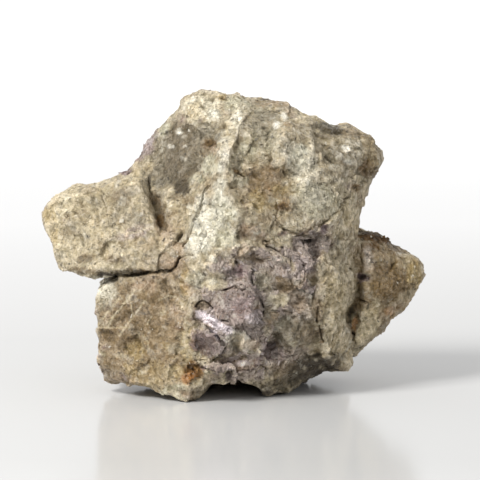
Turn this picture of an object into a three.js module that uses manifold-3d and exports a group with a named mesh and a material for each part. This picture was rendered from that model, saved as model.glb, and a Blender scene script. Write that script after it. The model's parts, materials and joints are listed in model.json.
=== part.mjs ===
// A hand specimen of lepidolite pegmatite: one broken lump of coarse-grained rock, standing on a few small
// flat spots. Feldspar makes the ledge and the square block on the left, grey quartz fills the hollow above
// them, a pale ridge runs down the middle, and mica books stand out below it.
// Millimetres, +Z up, the front of the stone towards -Y, the origin at the middle of the base.

import * as THREE from "three";
import { ConvexGeometry } from "three/addons/geometries/ConvexGeometry.js";
import { ImprovedNoise } from "three/addons/math/ImprovedNoise.js";
import { MeshSurfaceSampler } from "three/addons/math/MeshSurfaceSampler.js";
import { mergeVertices } from "three/addons/utils/BufferGeometryUtils.js";
import Module from "manifold-3d";

const wasm = await Module();
wasm.setup();

// The size of the whole stone.
const WIDTH = 130;
const DEPTH = 84;
const HEIGHT = 102;

// Facets and roughness of the broken surface: the longest edge of a facet, and how far its corners waver.
const FACET = 9.5;
const SWELLS = { wavelength: 15, height: 2 };
const BUMPS = { wavelength: 6.5, height: 1.7 };

// Every block is a convex fragment, bounded by flat breaks with edges worn back by its bevel.
// A corner is [x, z, y of the front, y of the back].
const BLOCKS = [
  {
    name: "upper mass",
    bevel: 3,
    corners: [
      [-37, 73, -3, 14], [-34, 77, -5, 16], [-30, 83, -7, 18], [-24, 88.5, -10, 18], [-19, 92.5, -11, 16],
      [-15.5, 98, -10, 12], [3, 98.5, -15, 10], [17, 96.5, -14, 10], [27, 91, -13, 14],
      [38, 89, -10, 16], [45.5, 85.5, -7, 18], [49.5, 81, -4, 16], [49.5, 77, -3, 14], [44.5, 63, -9, 14],
      [42.5, 53, -13, 14], [0, 90, -28, 6], [-3, 76, -36, 6], [-6, 60, -40, 6], [-9, 44, -41, 6],
      [20, 84, -28, 6], [30, 68, -31, 6], [24, 56, -34, 6], [-17, 46, -35, 6], [-26, 54, -25, 12],
      [-34, 64, -10, 14],
    ],
  },
  {
    name: "lower mass",
    bevel: 2,
    corners: [
      [-22, 50, -31, 20], [-22, 30, -31, 20], [-22, 8, -31, 20], [-14, 46, -37, 10], [-14, 8, -36, 10],
      [-17, -1, -34, -12], [12, -1, -25, 10], [17, -1, -20, 16], [23, 2.5, -18, 20],
      [32, 5.5, -16, 22], [37, 7.5, -15, 22], [40, 12, -15, 22], [41.5, 30, -16, 22],
      [42, 50, -14, 22], [41, 60, -13, 20], [-6, 34, -39, 6], [7, 46, -41, 6], [22, 48, -35, 6],
      [28, 30, -32, 6], [25, 14, -28, 6], [4, 10, -34, 6],
    ],
  },
  {
    name: "upper mica",
    bevel: 3,
    corners: [
      [-3, 61, -40, 6], [8, 63, -38, 6], [17, 60, -36.5, 6], [25, 51, -35.5, 6], [22, 42, -35.5, 6],
      [6, 38, -40, 6], [-5, 42, -41, 6],
    ],
  },
  {
    name: "knob",
    bevel: 3,
    corners: [
      [-17.5, 94.5, -11, 8], [-15.5, 99.5, -9, 6], [-10, 101.5, -11, 6], [-5, 100, -13, 8],
      [-1, 98, -16, 8], [-3, 88, -23, 6], [-10, 86, -21, 6], [-17, 89, -15, 6],
    ],
  },
  {
    name: "upper ridge",
    bevel: 2.5,
    corners: [
      [-5, 99, -13, 6], [3, 100, -15, 6], [4, 90, -28, 6], [-5, 88, -28, 6], [-9, 70, -37, 6],
      [1, 70, -39, 6], [-1, 80, -35.5, 6],
    ],
  },
  {
    name: "pale buttress",
    bevel: 2,
    corners: [
      [-6, 80, -35, 6], [-11, 68, -37, 6], [-16, 57, -36, 6], [-17, 48, -35, 6], [-9, 42, -39, 6],
      [-1, 42, -42, 6], [4, 50, -41, 6], [3, 62, -41, 6], [0, 74, -39, 6],
    ],
  },
  {
    name: "bulge",
    bevel: 4,
    corners: [
      [8, 97.5, -12, 6], [18, 97.5, -12, 6], [29, 91, -13, 6], [32, 78, -25, 6], [14, 73, -34, 6],
      [7, 84, -29, 6], [18, 84, -30, 6],
    ],
  },
  {
    name: "smooth shoulder",
    bevel: 3,
    corners: [
      [13, 57, -36.5, 6], [14, 67, -35, 6], [24, 78, -30.5, 6], [40, 76, -20, 6], [43, 63, -16, 6],
      [38, 56, -24, 6], [25, 54, -35.5, 6],
    ],
  },
  {
    name: "right lump",
    bevel: 3,
    corners: [
      [31, 91, -13, 12], [40, 89.5, -13, 14], [46.5, 86.5, -9, 14], [51, 82.5, -5, 12], [51.5, 78, -4, 12],
      [49.5, 73.5, -6, 12], [45, 67, -9, 12], [38, 70, -19, 8], [33, 80, -22, 8],
    ],
  },
  {
    name: "pitted buttress",
    bevel: 3,
    corners: [
      [31, 58, -28, 8], [41, 58, -16, 10], [43, 48, -16, 10], [42, 30, -19, 10], [40.5, 14, -18, 10],
      [38, 8, -16, 8], [31, 8, -24, 8], [26, 24, -30, 8], [27, 44, -32, 8], [35, 44, -28, 8],
      [34, 22, -28, 8],
    ],
  },
  {
    name: "ledge",
    bevel: 2.5,
    corners: [
      [-65, 60, -9, 1], [-63.5, 63, -9, 3], [-60, 67, -12, 9], [-50, 70.5, -17, 13], [-38, 72.5, -21, 15],
      [-29.5, 72.5, -24.5, 15], [-25, 57, -32, 10], [-23, 42.5, -32, 8], [-29, 41, -29, 8],
      [-45, 40, -24, 7], [-51, 40.5, -20, 5], [-59.5, 42.5, -15, 2], [-61.5, 52, -11, 0],
    ],
  },
  {
    name: "root of the ledge",
    bevel: 2,
    corners: [
      [-30, 57, -29, 8], [-20, 56, -33, 8], [-14, 53, -36, 8], [-13, 47, -37, 8], [-18, 43.5, -35, 8],
      [-24, 42, -32, 8], [-30, 42, -30, 8],
    ],
  },
  {
    name: "square block",
    bevel: 1.2,
    corners: [
      [-46, 36, -21, 8], [-45.5, 22, -21, 8], [-45, 12, -21, 8], [-42.5, 4.5, -21, 6], [-35.5, 2.7, -24, 4],
      [-26, 2, -28, 4], [-20, 0.5, -32, 0], [-13.5, -1, -36, -12], [-12.5, 12, -37.5, 0],
      [-12.5, 30, -38, 0], [-13, 46, -37.5, 0], [-20, 41, -34, 4], [-30, 38.5, -29, 6],
      [-44, 38, -22, 7],
    ],
  },
  {
    name: "tail",
    bevel: 3,
    corners: [
      [36, 54, -12, 20], [46, 53, -8, 18], [50.5, 52.5, -5, 16], [56, 48, -4, 16], [61.5, 45.5, -3, 13],
      [64.3, 43, -1, 11], [64.8, 39, 0, 10], [64.6, 34.5, -1, 10], [60.5, 28, -4, 12],
      [53.5, 21.5, -6, 14], [48, 15.5, -7, 14], [41, 11.5, -10, 14], [38, 30, -15, 16],
      [50, 38, -12, 16],
    ],
  },
  {
    name: "root of the tail",
    bevel: 2,
    corners: [
      [40, 33, -16, 6], [46, 34, -15, 6], [51, 29, -10, 6], [50, 20, -9, 8], [46, 15, -11, 8],
      [40, 14, -13, 6],
    ],
  },
  {
    name: "back wedge",
    bevel: 2.5,
    corners: [
      [-24, 84, 0, 14], [4, 91, 0, 15], [26, 87.5, 0, 18], [43, 78, 0, 22], [43, 60, 0, 32],
      [26, 52, 0, 40], [2, 48, 0, 41.5], [-16, 56, 0, 36], [-30, 64, 0, 24], [-31, 74, 0, 18],
    ],
  },
  {
    name: "back corner",
    bevel: 3,
    corners: [
      [10, 62, 0, 36], [34, 60, 0, 34], [42, 46, 0, 27], [39, 26, 0, 25], [32, 9, 0, 20],
      [24, -2, 4, 17], [6, -2, 4, 24], [0, 12, 0, 31], [-4, 36, 0, 38], [18, 38, 0, 38],
    ],
  },
  {
    name: "back step",
    bevel: 2.5,
    corners: [
      [-36, 60, 0, 17], [-18, 64, 0, 26], [0, 50, 0, 35], [-6, 26, 0, 36], [2, 4, 0, 27],
      [-10, -2, 6, 24], [-24, -2, 4, 17], [-35, 9, 0, 12], [-39, 32, 0, 15],
    ],
  },
];

// Where a convex piece has broken away. A corner is as above, and the back is the floor of the break.
const BREAKS = [
  {
    name: "quartz hollow",
    bevel: 1,
    corners: [
      [-33, 79, -40, -8], [-25, 89, -40, -13], [-12, 89, -46, -20.5], [-6, 84, -50, -28], [-8, 72, -54, -35],
      [-13, 62, -54, -36], [-22, 57.5, -50, -30], [-28.5, 66, -44, -22],
    ],
  },
  {
    name: "valley beside the ridge",
    bevel: 1,
    corners: [
      [2, 103, -45, -18], [7, 103, -45, -14], [12, 103, -45, -16], [2, 84, -50, -34], [8, 84, -50, -28.5],
      [13, 84, -50, -31], [1, 64, -54, -41], [8, 60, -54, -37.5], [13, 66, -54, -37],
    ],
  },
  {
    name: "brown hollow",
    bevel: 1,
    corners: [
      [4, 76, -50, -36], [13, 78, -50, -32.5], [20, 72, -50, -33.5], [16, 60, -50, -36.5],
      [7, 61, -50, -38.5], [12, 68, -50, -32],
    ],
  },
  {
    name: "under the shoulder",
    bevel: 1,
    corners: [
      [19, 55, -60, -37], [28, 54, -60, -33], [38, 55, -50, -21], [36, 51, -50, -26], [27, 50, -60, -34],
      [20, 52.5, -60, -37],
    ],
  },
  {
    name: "grey lens",
    bevel: 0.8,
    corners: [
      [25, 90, -40, -13], [39, 88, -40, -10], [37, 83.5, -40, -18], [28, 84.5, -40, -20],
    ],
  },
  {
    name: "mica hollow",
    bevel: 1,
    corners: [
      [6, 26, -60, -35], [14, 27, -60, -34], [20, 18, -60, -30], [15, 12, -60, -30], [8, 14, -60, -33],
      [13, 19, -60, -27],
    ],
  },
  {
    name: "cleft beside the tail",
    bevel: 0.5,
    corners: [
      [41, 52, -60, -13], [43.5, 52, -60, -12], [42.5, 32, -60, -8], [40.5, 14, -60, -12],
      [44, 24, -60, -11],
    ],
  },
  {
    name: "arch",
    bevel: 1,
    corners: [
      [-12, -4, -60, 4], [-8, 3, -60, 0], [-2, 5, -60, -6], [4, 4.5, -60, -9], [9, 2.5, -60, -2],
      [12, -4, -60, 6],
    ],
  },
  {
    name: "top step",
    bevel: 1,
    corners: [
      [20, 104, -40, 30], [40, 104, -40, 30], [42, 90.5, -40, 30], [29, 92, -40, 30], [22, 95, -40, 30],
    ],
  },
];

// Mica books stand out of the lower mass. A book is [x, y, z, radius, thickness, turn, tilt], with the last
// two in degrees.
const BOOKS = [
  [-1, -37.5, 36, 12, 3.5, -18, -10],
  [-8, -36, 20, 9, 3.5, -25, 34],
  [-4, -36.5, 27, 9, 3, 10, -48],
  [5, -38.5, 49, 8, 3, 12, 28],
  [20, -35, 44, 8, 3, 20, -20],
  [7, -35, 22, 8, 3, 35, 15],
  [15, -35, 34, 6, 5, 10, 0],
  [-4, -36, 9, 8, 3, -10, 40],
];
// Smaller ones lie at any angle up to the steepest. Their thickness and depth are in radii.
const SMALL_BOOKS = { count: 14, least: 3, most: 5.5, thickness: 0.3, depth: 0.15, steepest: 60 };
// A book's outline is irregular: its corners are up to a share of a step round from their places, between
// the nearest and the farthest reach, and one of its faces may be smaller than the other.
const OUTLINE = { corners: 7, offStep: 0.7, nearest: 0.7, farthest: 1.05, smallerFace: 0.88 };

// Fragments stand out of the stone, or have broken out of it: how many, their radii, and how far the middle
// of each is below the surface, in radii.
const BACK_LUMPS = { count: 10, least: 8, most: 14, depth: 0.72 };
const BACK_FLAKES = { count: 8, least: 8, most: 16, depth: -0.78 };
const GRAINS = { count: 10, least: 2.5, most: 5, depth: 0.55 };
const CHIPS = { count: 18, least: 2.5, most: 5.5, depth: -0.6 };
// A fragment's corners, and how far it may be flattened or drawn out along each axis.
const FRAGMENT = { corners: 10, flattest: 0.7, longest: 1.2 };

// The parts of the surface where books and back fragments are. Grains and chips are right of the clean
// cleavage faces of the ledge and the square block.
const MICA_ZONE = { left: -8, right: 24, bottom: 6, top: 52, front: -28 };
const BACK_ZONE = { halfWidth: 38, bottom: 8, front: 12 };
const ROUGH_ZONE = { left: -12 };

// Corners closer than this are one.
const SAME_POINT = 1e-4;
// Two shifts through the noise, so that the three components of a waver differ.
const NOISE_SHIFTS = [31.7, 57.3];

const SEED = 20;
let draws = 0;

// The next number from 0 to 1 of one fixed sequence, so that the stone is the same every time.
function draw() {
  draws += 1;
  return THREE.MathUtils.seededRandom(draws === 1 ? SEED : undefined);
}

function drawBetween(low, high) {
  return low + (high - low) * draw();
}

function solidFrom(geometry) {
  const bare = geometry.clone();
  bare.deleteAttribute("normal");
  bare.deleteAttribute("uv");
  const merged = mergeVertices(bare, SAME_POINT);
  const mesh = new wasm.Mesh({
    numProp: 3,
    vertProperties: merged.attributes.position.array,
    triVerts: new Uint32Array(merged.index.array),
  });
  return new wasm.Manifold(mesh);
}

function geometryFrom(solid) {
  const { numProp, vertProperties, triVerts } = solid.getMesh();
  const position = new THREE.BufferAttribute(Float32Array.from(vertProperties), numProp);
  return new THREE.BufferGeometry()
    .setAttribute("position", position)
    .setIndex(new THREE.BufferAttribute(triVerts, 1));
}

// A triangle is halved across its longest edge until no edge is longer than a facet.
function splitTriangle(a, b, c, out) {
  const edges = [[a, b, c], [b, c, a], [c, a, b]];
  edges.sort((e, f) => f[0].distanceToSquared(f[1]) - e[0].distanceToSquared(e[1]));
  const [from, to, across] = edges[0];
  if (from.distanceTo(to) <= FACET) {
    out.push(a, b, c);
    return;
  }
  const middle = from.clone().add(to).multiplyScalar(0.5);
  splitTriangle(from, middle, across, out);
  splitTriangle(middle, to, across, out);
}

const noise = new ImprovedNoise();

// How far a point moves, as a smooth vector field.
function waver(point, { wavelength, height }) {
  const p = point.clone().divideScalar(wavelength);
  return new THREE.Vector3(
    noise.noise(p.x, p.y, p.z),
    noise.noise(p.x + NOISE_SHIFTS[0], p.y, p.z),
    noise.noise(p.x, p.y + NOISE_SHIFTS[1], p.z),
  ).multiplyScalar(height);
}

// The solid with its faces split into facets, whose corners are moved out of line.
function roughened(solid) {
  const at = geometryFrom(solid).toNonIndexed().getAttribute("position");
  const corner = (i) => new THREE.Vector3().fromBufferAttribute(at, i);
  const points = [];
  for (let i = 0; i < at.count; i += 3) splitTriangle(corner(i), corner(i + 1), corner(i + 2), points);
  const moved = points.map((p) => p.clone().add(waver(p, SWELLS)).add(waver(p, BUMPS)));
  return solidFrom(new THREE.BufferGeometry().setFromPoints(moved));
}

// A convex solid with its front and back faces set in from its corners by the bevel.
function block({ bevel, corners }) {
  const middle = new THREE.Vector2();
  corners.forEach(([x, z]) => middle.add(new THREE.Vector2(x, z).divideScalar(corners.length)));
  const points = corners.flatMap(([x, z, front, back]) => {
    const inner = middle.clone().sub(new THREE.Vector2(x, z)).setLength(bevel).add(new THREE.Vector2(x, z));
    return [
      new THREE.Vector3(x, front + bevel, z),
      new THREE.Vector3(x, back - bevel, z),
      new THREE.Vector3(inner.x, front, inner.y),
      new THREE.Vector3(inner.x, back, inner.y),
    ];
  });
  return solidFrom(new ConvexGeometry(points));
}

// An irregular fragment with flat faces, about a point.
function fragment(centre, radius) {
  const { corners, flattest, longest } = FRAGMENT;
  const stretch = new THREE.Vector3(...[0, 1, 2].map(() => drawBetween(flattest, longest)));
  const points = Array.from({ length: corners }, () =>
    new THREE.Vector3(drawBetween(-1, 1), drawBetween(-1, 1), drawBetween(-1, 1))
      .normalize()
      .multiply(stretch)
      .multiplyScalar(radius)
      .add(centre),
  );
  return solidFrom(new ConvexGeometry(points));
}

// Points spread over a solid's surface, each with the normal there.
function spots(solid, count, isWanted = () => true) {
  const sampler = new MeshSurfaceSampler(new THREE.Mesh(geometryFrom(solid).toNonIndexed()));
  sampler.setRandomGenerator(draw).build();
  const found = [];
  while (found.length < count) {
    const at = new THREE.Vector3();
    const normal = new THREE.Vector3();
    sampler.sample(at, normal);
    if (isWanted(at)) found.push({ at, normal });
  }
  return found;
}

// Fragments over a solid's surface, or over the part of it that is wanted.
function scatter(solid, { count, least, most, depth }, isWanted) {
  return spots(solid, count, isWanted).map(({ at, normal }) => {
    const radius = drawBetween(least, most);
    return fragment(at.clone().addScaledVector(normal, -depth * radius), radius);
  });
}

// A flat plate with an irregular outline.
function book([x, y, z, radius, thickness, turn, tilt]) {
  const { corners, offStep, nearest, farthest, smallerFace } = OUTLINE;
  const points = [];
  for (let corner = 0; corner < corners; corner += 1) {
    const angle = ((corner + drawBetween(0, offStep)) / corners) * 2 * Math.PI;
    const reach = radius * drawBetween(nearest, farthest);
    for (const side of [-0.5, 0.5]) {
      const spread = reach * drawBetween(smallerFace, 1);
      points.push(new THREE.Vector3(spread * Math.cos(angle), side * thickness, spread * Math.sin(angle)));
    }
  }
  const plate = new ConvexGeometry(points);
  plate.rotateX(THREE.MathUtils.degToRad(tilt));
  plate.rotateZ(THREE.MathUtils.degToRad(turn));
  plate.translate(x, y, z);
  return solidFrom(plate);
}

function isAtBack({ x, y, z }) {
  const { halfWidth, bottom, front } = BACK_ZONE;
  return Math.abs(x) < halfWidth && z > bottom && y > front;
}

function isRough({ x }) {
  return x > ROUGH_ZONE.left;
}

function isInMicaZone({ x, y, z }) {
  const { left, right, bottom, top, front } = MICA_ZONE;
  return x > left && x < right && z > bottom && z < top && y < front;
}

function smallBooks(solid) {
  const { count, least, most, thickness, depth, steepest } = SMALL_BOOKS;
  return spots(solid, count, isInMicaZone).map(({ at, normal }) => {
    const radius = drawBetween(least, most);
    const { x, y, z } = at.addScaledVector(normal, -depth * radius);
    const turn = drawBetween(-steepest, steepest);
    const tilt = drawBetween(-steepest, steepest);
    return book([x, y, z, radius, thickness * radius, turn, tilt]);
  });
}

// The stone's outer skin, without the hollows that neighbouring blocks shut in.
function filled(solid) {
  return solid.decompose().reduce((largest, piece) => (piece.volume() > largest.volume() ? piece : largest));
}

// The feet are worn flat where they meet the ground.
function levelled(solid) {
  const ground = new THREE.BoxGeometry(2 * WIDTH, 2 * DEPTH, HEIGHT).translate(0, 0, -HEIGHT / 2);
  return solid.subtract(solidFrom(ground));
}

// The solid's geometry at the exact size, centred and on the ground.
function fitted(solid) {
  const geometry = geometryFrom(solid);
  geometry.computeBoundingBox();
  const { min, max } = geometry.boundingBox;
  return geometry
    .translate(-(min.x + max.x) / 2, -(min.y + max.y) / 2, -min.z)
    .scale(WIDTH / (max.x - min.x), DEPTH / (max.y - min.y), HEIGHT / (max.z - min.z));
}

function pegmatite() {
  let stone = filled(BLOCKS.map(block).reduce((whole, piece) => whole.add(piece)));
  BREAKS.map(block).forEach((piece) => (stone = stone.subtract(piece)));
  scatter(stone, BACK_LUMPS, isAtBack).forEach((lump) => (stone = stone.add(lump)));
  scatter(stone, BACK_FLAKES, isAtBack).forEach((flake) => (stone = stone.subtract(flake)));
  stone = roughened(stone);
  const added = [...scatter(stone, GRAINS, isRough), ...BOOKS.map(book), ...smallBooks(stone)];
  const chips = scatter(stone, CHIPS, isRough);
  added.forEach((piece) => (stone = stone.add(piece)));
  chips.forEach((chip) => (stone = stone.subtract(chip)));
  const material = new THREE.MeshStandardMaterial({ color: 0xa8987c, roughness: 0.85, metalness: 0 });
  const mesh = new THREE.Mesh(fitted(filled(levelled(stone))), material);
  mesh.name = "pegmatite";
  return mesh;
}

const specimen = new THREE.Group();
specimen.add(pegmatite());

export default specimen;
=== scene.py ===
"""A hand specimen of lepidolite pegmatite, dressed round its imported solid.

Every length in the tables below is in millimetres. Marks on the front of the stone (patches, veins, cracks, steps
and pits) have their places on the sheet that faces the viewer: the first number runs to the right, the second one
up. An oval place is right, up, half width, half height and, where it is turned, its turn in degrees. The rest of
the stone is covered by coarse crystals of the same minerals.
"""

import functools
import itertools
import json
import math

import bpy
import numpy as np
from bpy.props import FloatProperty, FloatVectorProperty, IntProperty, PointerProperty
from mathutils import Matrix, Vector

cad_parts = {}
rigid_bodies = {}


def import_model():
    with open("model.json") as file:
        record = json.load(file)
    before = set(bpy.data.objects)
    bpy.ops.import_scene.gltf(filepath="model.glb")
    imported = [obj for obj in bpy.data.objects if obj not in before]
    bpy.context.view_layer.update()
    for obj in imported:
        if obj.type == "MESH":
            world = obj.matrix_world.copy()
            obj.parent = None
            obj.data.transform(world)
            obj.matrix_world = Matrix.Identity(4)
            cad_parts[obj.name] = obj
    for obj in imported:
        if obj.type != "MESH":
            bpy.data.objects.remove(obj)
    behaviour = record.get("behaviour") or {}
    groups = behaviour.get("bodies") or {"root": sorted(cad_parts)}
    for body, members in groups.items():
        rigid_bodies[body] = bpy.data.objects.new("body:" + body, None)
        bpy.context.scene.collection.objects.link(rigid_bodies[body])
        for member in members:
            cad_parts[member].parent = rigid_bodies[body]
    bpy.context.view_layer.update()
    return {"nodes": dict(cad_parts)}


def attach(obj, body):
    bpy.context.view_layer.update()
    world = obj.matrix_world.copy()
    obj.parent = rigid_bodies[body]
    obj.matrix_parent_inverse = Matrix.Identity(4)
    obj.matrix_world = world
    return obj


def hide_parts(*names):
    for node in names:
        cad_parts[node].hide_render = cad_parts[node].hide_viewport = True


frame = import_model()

bl_info = {
    "name": "Lepidolite pegmatite specimen",
    "version": (1, 0, 0),
    "blender": (4, 5, 0),
    "location": "3D View > Sidebar > Specimen",
    "description": "Builds a lepidolite pegmatite hand specimen with its small studio",
    "category": "Object",
}

MM = 0.001
CAD_NODE = "pegmatite"

# The sheet that faces the viewer: its middle, in metres and on its own scales, and how steeply it is seen.
VIEW_DISTANCE = 1.0
VIEW_ELEVATION = 6.0
VIEW_TARGET = (0.002, 0.0, 0.0504)
SHEET_MIDDLE = (2.04, 50.06)
# The key light's place and size, the floor's size, and the nearest and farthest that the camera sees, in metres.
KEY_PLACE = (-0.5, -0.55, 0.7)
KEY_SIZE = 0.32
FLOOR_SIZE = 30
CLIP_RANGE = (0.01, 50)
KEY_COLOUR = (1.0, 0.99, 0.965)

# --- Minerals -------------------------------------------------------------------------------------------------

# name: label, colour, relief, speckle, gloss, mica. The last four run from 0 to about 1.
MINERALS = {
    "cream": ("Cream feldspar", (189, 177, 151), 0.32, 0.65, 0.15, 0.0),
    "tan": ("Tan feldspar", (173, 161, 137), 0.3, 0.75, 0.2, 0.0),
    "brown": ("Brown feldspar", (138, 121, 96), 0.32, 0.9, 0.35, 0.0),
    # Umber is the stone's own brown; laid along the slab's lower edge, in the cleft at its right edge and down the
    # ridge's right flank it is painted shade.
    "umber": ("Umber feldspar", (106, 91, 69), 0.45, 1.0, 0.35, 0.0),
    "pink": ("Pink feldspar", (161, 142, 121), 0.4, 0.85, 0.3, 0.0),
    "ochre": ("Ochre feldspar", (165, 146, 106), 0.5, 0.85, 0.2, 0.0),
    "white": ("White albite", (208, 203, 187), 0.62, 0.8, 0.1, 0.0),
    "milky": ("Milky quartz", (228, 223, 210), 0.4, 0.7, 0.3, 0.0),
    "green": ("Greenish albite", (178, 173, 151), 0.5, 0.95, 0.15, 0.0),
    "grey": ("Grey albite", (158, 149, 129), 0.55, 1.15, 0.15, 0.0),
    "quartz": ("Grey quartz", (116, 109, 94), 0.35, 0.95, 0.6, 0.0),
    "smoky": ("Smoky quartz", (98, 88, 71), 0.4, 0.95, 0.6, 0.0),
    # Dark quartz is also laid as painted shade in the gap under the slab's lower edge.
    "dark": ("Dark quartz", (74, 66, 50), 0.4, 1.1, 0.6, 0.0),
    "pale": ("Pale lepidolite", (156, 143, 138), 0.8, 1.3, 0.5, 0.8),
    "mica": ("Lepidolite", (143, 130, 122), 1.0, 1.4, 0.5, 1.0),
    "plum": ("Plum lepidolite", (115, 97, 96), 1.0, 1.35, 0.5, 1.0),
    # This near-white violet is painted highlight, the sheen where lepidolite plates catch the light; some flakes take
    # it too.
    "violet": ("Violet lepidolite", (236, 226, 232), 0.3, 0.55, 0.6, 1.0),
    "rust": ("Rust", (107, 77, 36), 0.9, 0.9, 0.1, 0.0),
    "orange": ("Orange rust", (172, 115, 60), 0.8, 0.8, 0.1, 0.0),
    # This dark brown is dirt and also painted shade: in the gap under the slab, in the cleft at its right edge, in
    # some pits and under the arch.
    "dirt": ("Dirt in the cracks", (50, 40, 32), 0.6, 0.5, 0.1, 0.0),
}

# Coarse crystals away from the front, and smaller ones among them: how often each mineral comes.
COARSE_CRYSTALS = (
    ("tan", 5), ("cream", 3), ("brown", 3), ("pink", 1), ("green", 3), ("grey", 3), ("quartz", 2), ("smoky", 2),
    ("mica", 2), ("plum", 1),
)
SMALL_CRYSTALS = (
    ("umber", 2), ("cream", 3), ("grey", 2), ("smoky", 2), ("plum", 1), ("rust", 1),
)
# The front's mica and quartz go on through the stone: their crystals, and an oval place.
MICA_CRYSTALS = (
    ("mica", 5), ("plum", 4), ("pale", 3), ("green", 2), ("quartz", 1), ("cream", 1),
)
QUARTZ_CRYSTALS = (
    ("quartz", 4), ("smoky", 4), ("dark", 1), ("green", 1),
)
BANDS = (
    (MICA_CRYSTALS, 6, 22, 21, 27, 10),
    (QUARTZ_CRYSTALS, -12, 80, 17, 13, 30),
)
BAND_PITCH = 8.0
BAND_STRENGTH = 0.9
COARSE_PITCH = 17.0
SMALL_PITCH = 6.0
SMALL_SHARE = 0.4
SMALL_STRENGTH = 0.6
# The front keeps its own marks down to this depth, and the coarse crystals are alone behind the second one.
FRONT_DEPTHS = (10.0, 20.0)

# Patches, laid one over another: mineral, strength, oval place.
BASE_PATCHES = (
    ("tan", 0.75, 0, 50, 90, 80),
)
LEDGE_PATCHES = (
    ("tan", 1, -43, 55, 25, 18), ("cream", 0.8, -57, 63, 8, 6, 35), ("cream", 0.7, -50, 67, 9, 3, 12),
    ("cream", 0.8, -62, 50, 3, 9, -10), ("cream", 0.7, -55, 46.5, 6, 4), ("cream", 0.5, -44, 53, 9, 2.5),
    ("ochre", 0.5, -63.5, 59, 2.5, 3), ("ochre", 0.5, -61.5, 51, 1.2, 4, -10), ("umber", 0.75, -51, 43, 3.2, 2.4),
    ("umber", 0.7, -40.5, 43, 3.2, 1.6), ("umber", 0.55, -38.5, 64.5, 4, 3), ("umber", 0.5, -50, 67, 3, 1.6, 10),
    ("umber", 0.5, -56.5, 58, 2, 1.6), ("umber", 0.55, -37.5, 56.3, 2, 1.1), ("umber", 0.45, -52, 59.5, 3, 0.9),
    ("umber", 0.4, -56, 52.5, 3, 1.5), ("umber", 0.4, -44, 48, 2, 1.2), ("umber", 0.45, -37.5, 47.5, 2.4, 1.6),
    ("quartz", 0.65, -33.5, 57.5, 4, 2.6, 10), ("quartz", 0.5, -39, 61.5, 3.5, 2, -20),
    ("quartz", 0.4, -50.5, 42.5, 2.4, 2), ("quartz", 0.6, -41.5, 57, 3, 1.8, 20),
    ("quartz", 0.6, -36, 66.5, 3.4, 2.2, 10), ("quartz", 0.5, -47, 62.5, 2.2, 1.6),
    ("quartz", 0.45, -55, 55, 2.2, 1.4), ("brown", 0.45, -30, 49, 4, 3), ("pale", 0.5, -36, 51.5, 7, 1.6, 12),
    # Along the slab's lower edge, up 38 to 40, the umber, dirt and dark quartz are painted shade in the gap under the
    # slab.
    ("pale", 0.5, -33, 53.3, 6, 1.7, 15), ("cream", 0.5, -47, 41.4, 13, 1), ("umber", 0.7, -50, 39.6, 9, 0.8, -8),
    ("dirt", 0.9, -43, 38.2, 4, 0.9, 4), ("dark", 0.9, -37, 38.9, 9, 1.1), ("umber", 0.7, -33, 39.6, 5, 0.7),
    ("pink", 0.7, -23, 43, 3.4, 3), ("pink", 0.7, -18.3, 47.5, 3, 2.6), ("umber", 0.5, -22, 41, 2, 0.9),
    ("cream", 0.8, -34, 72.3, 4, 1.8, 12), ("ochre", 0.35, -34, 70, 4, 1.2, 5),
)
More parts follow.
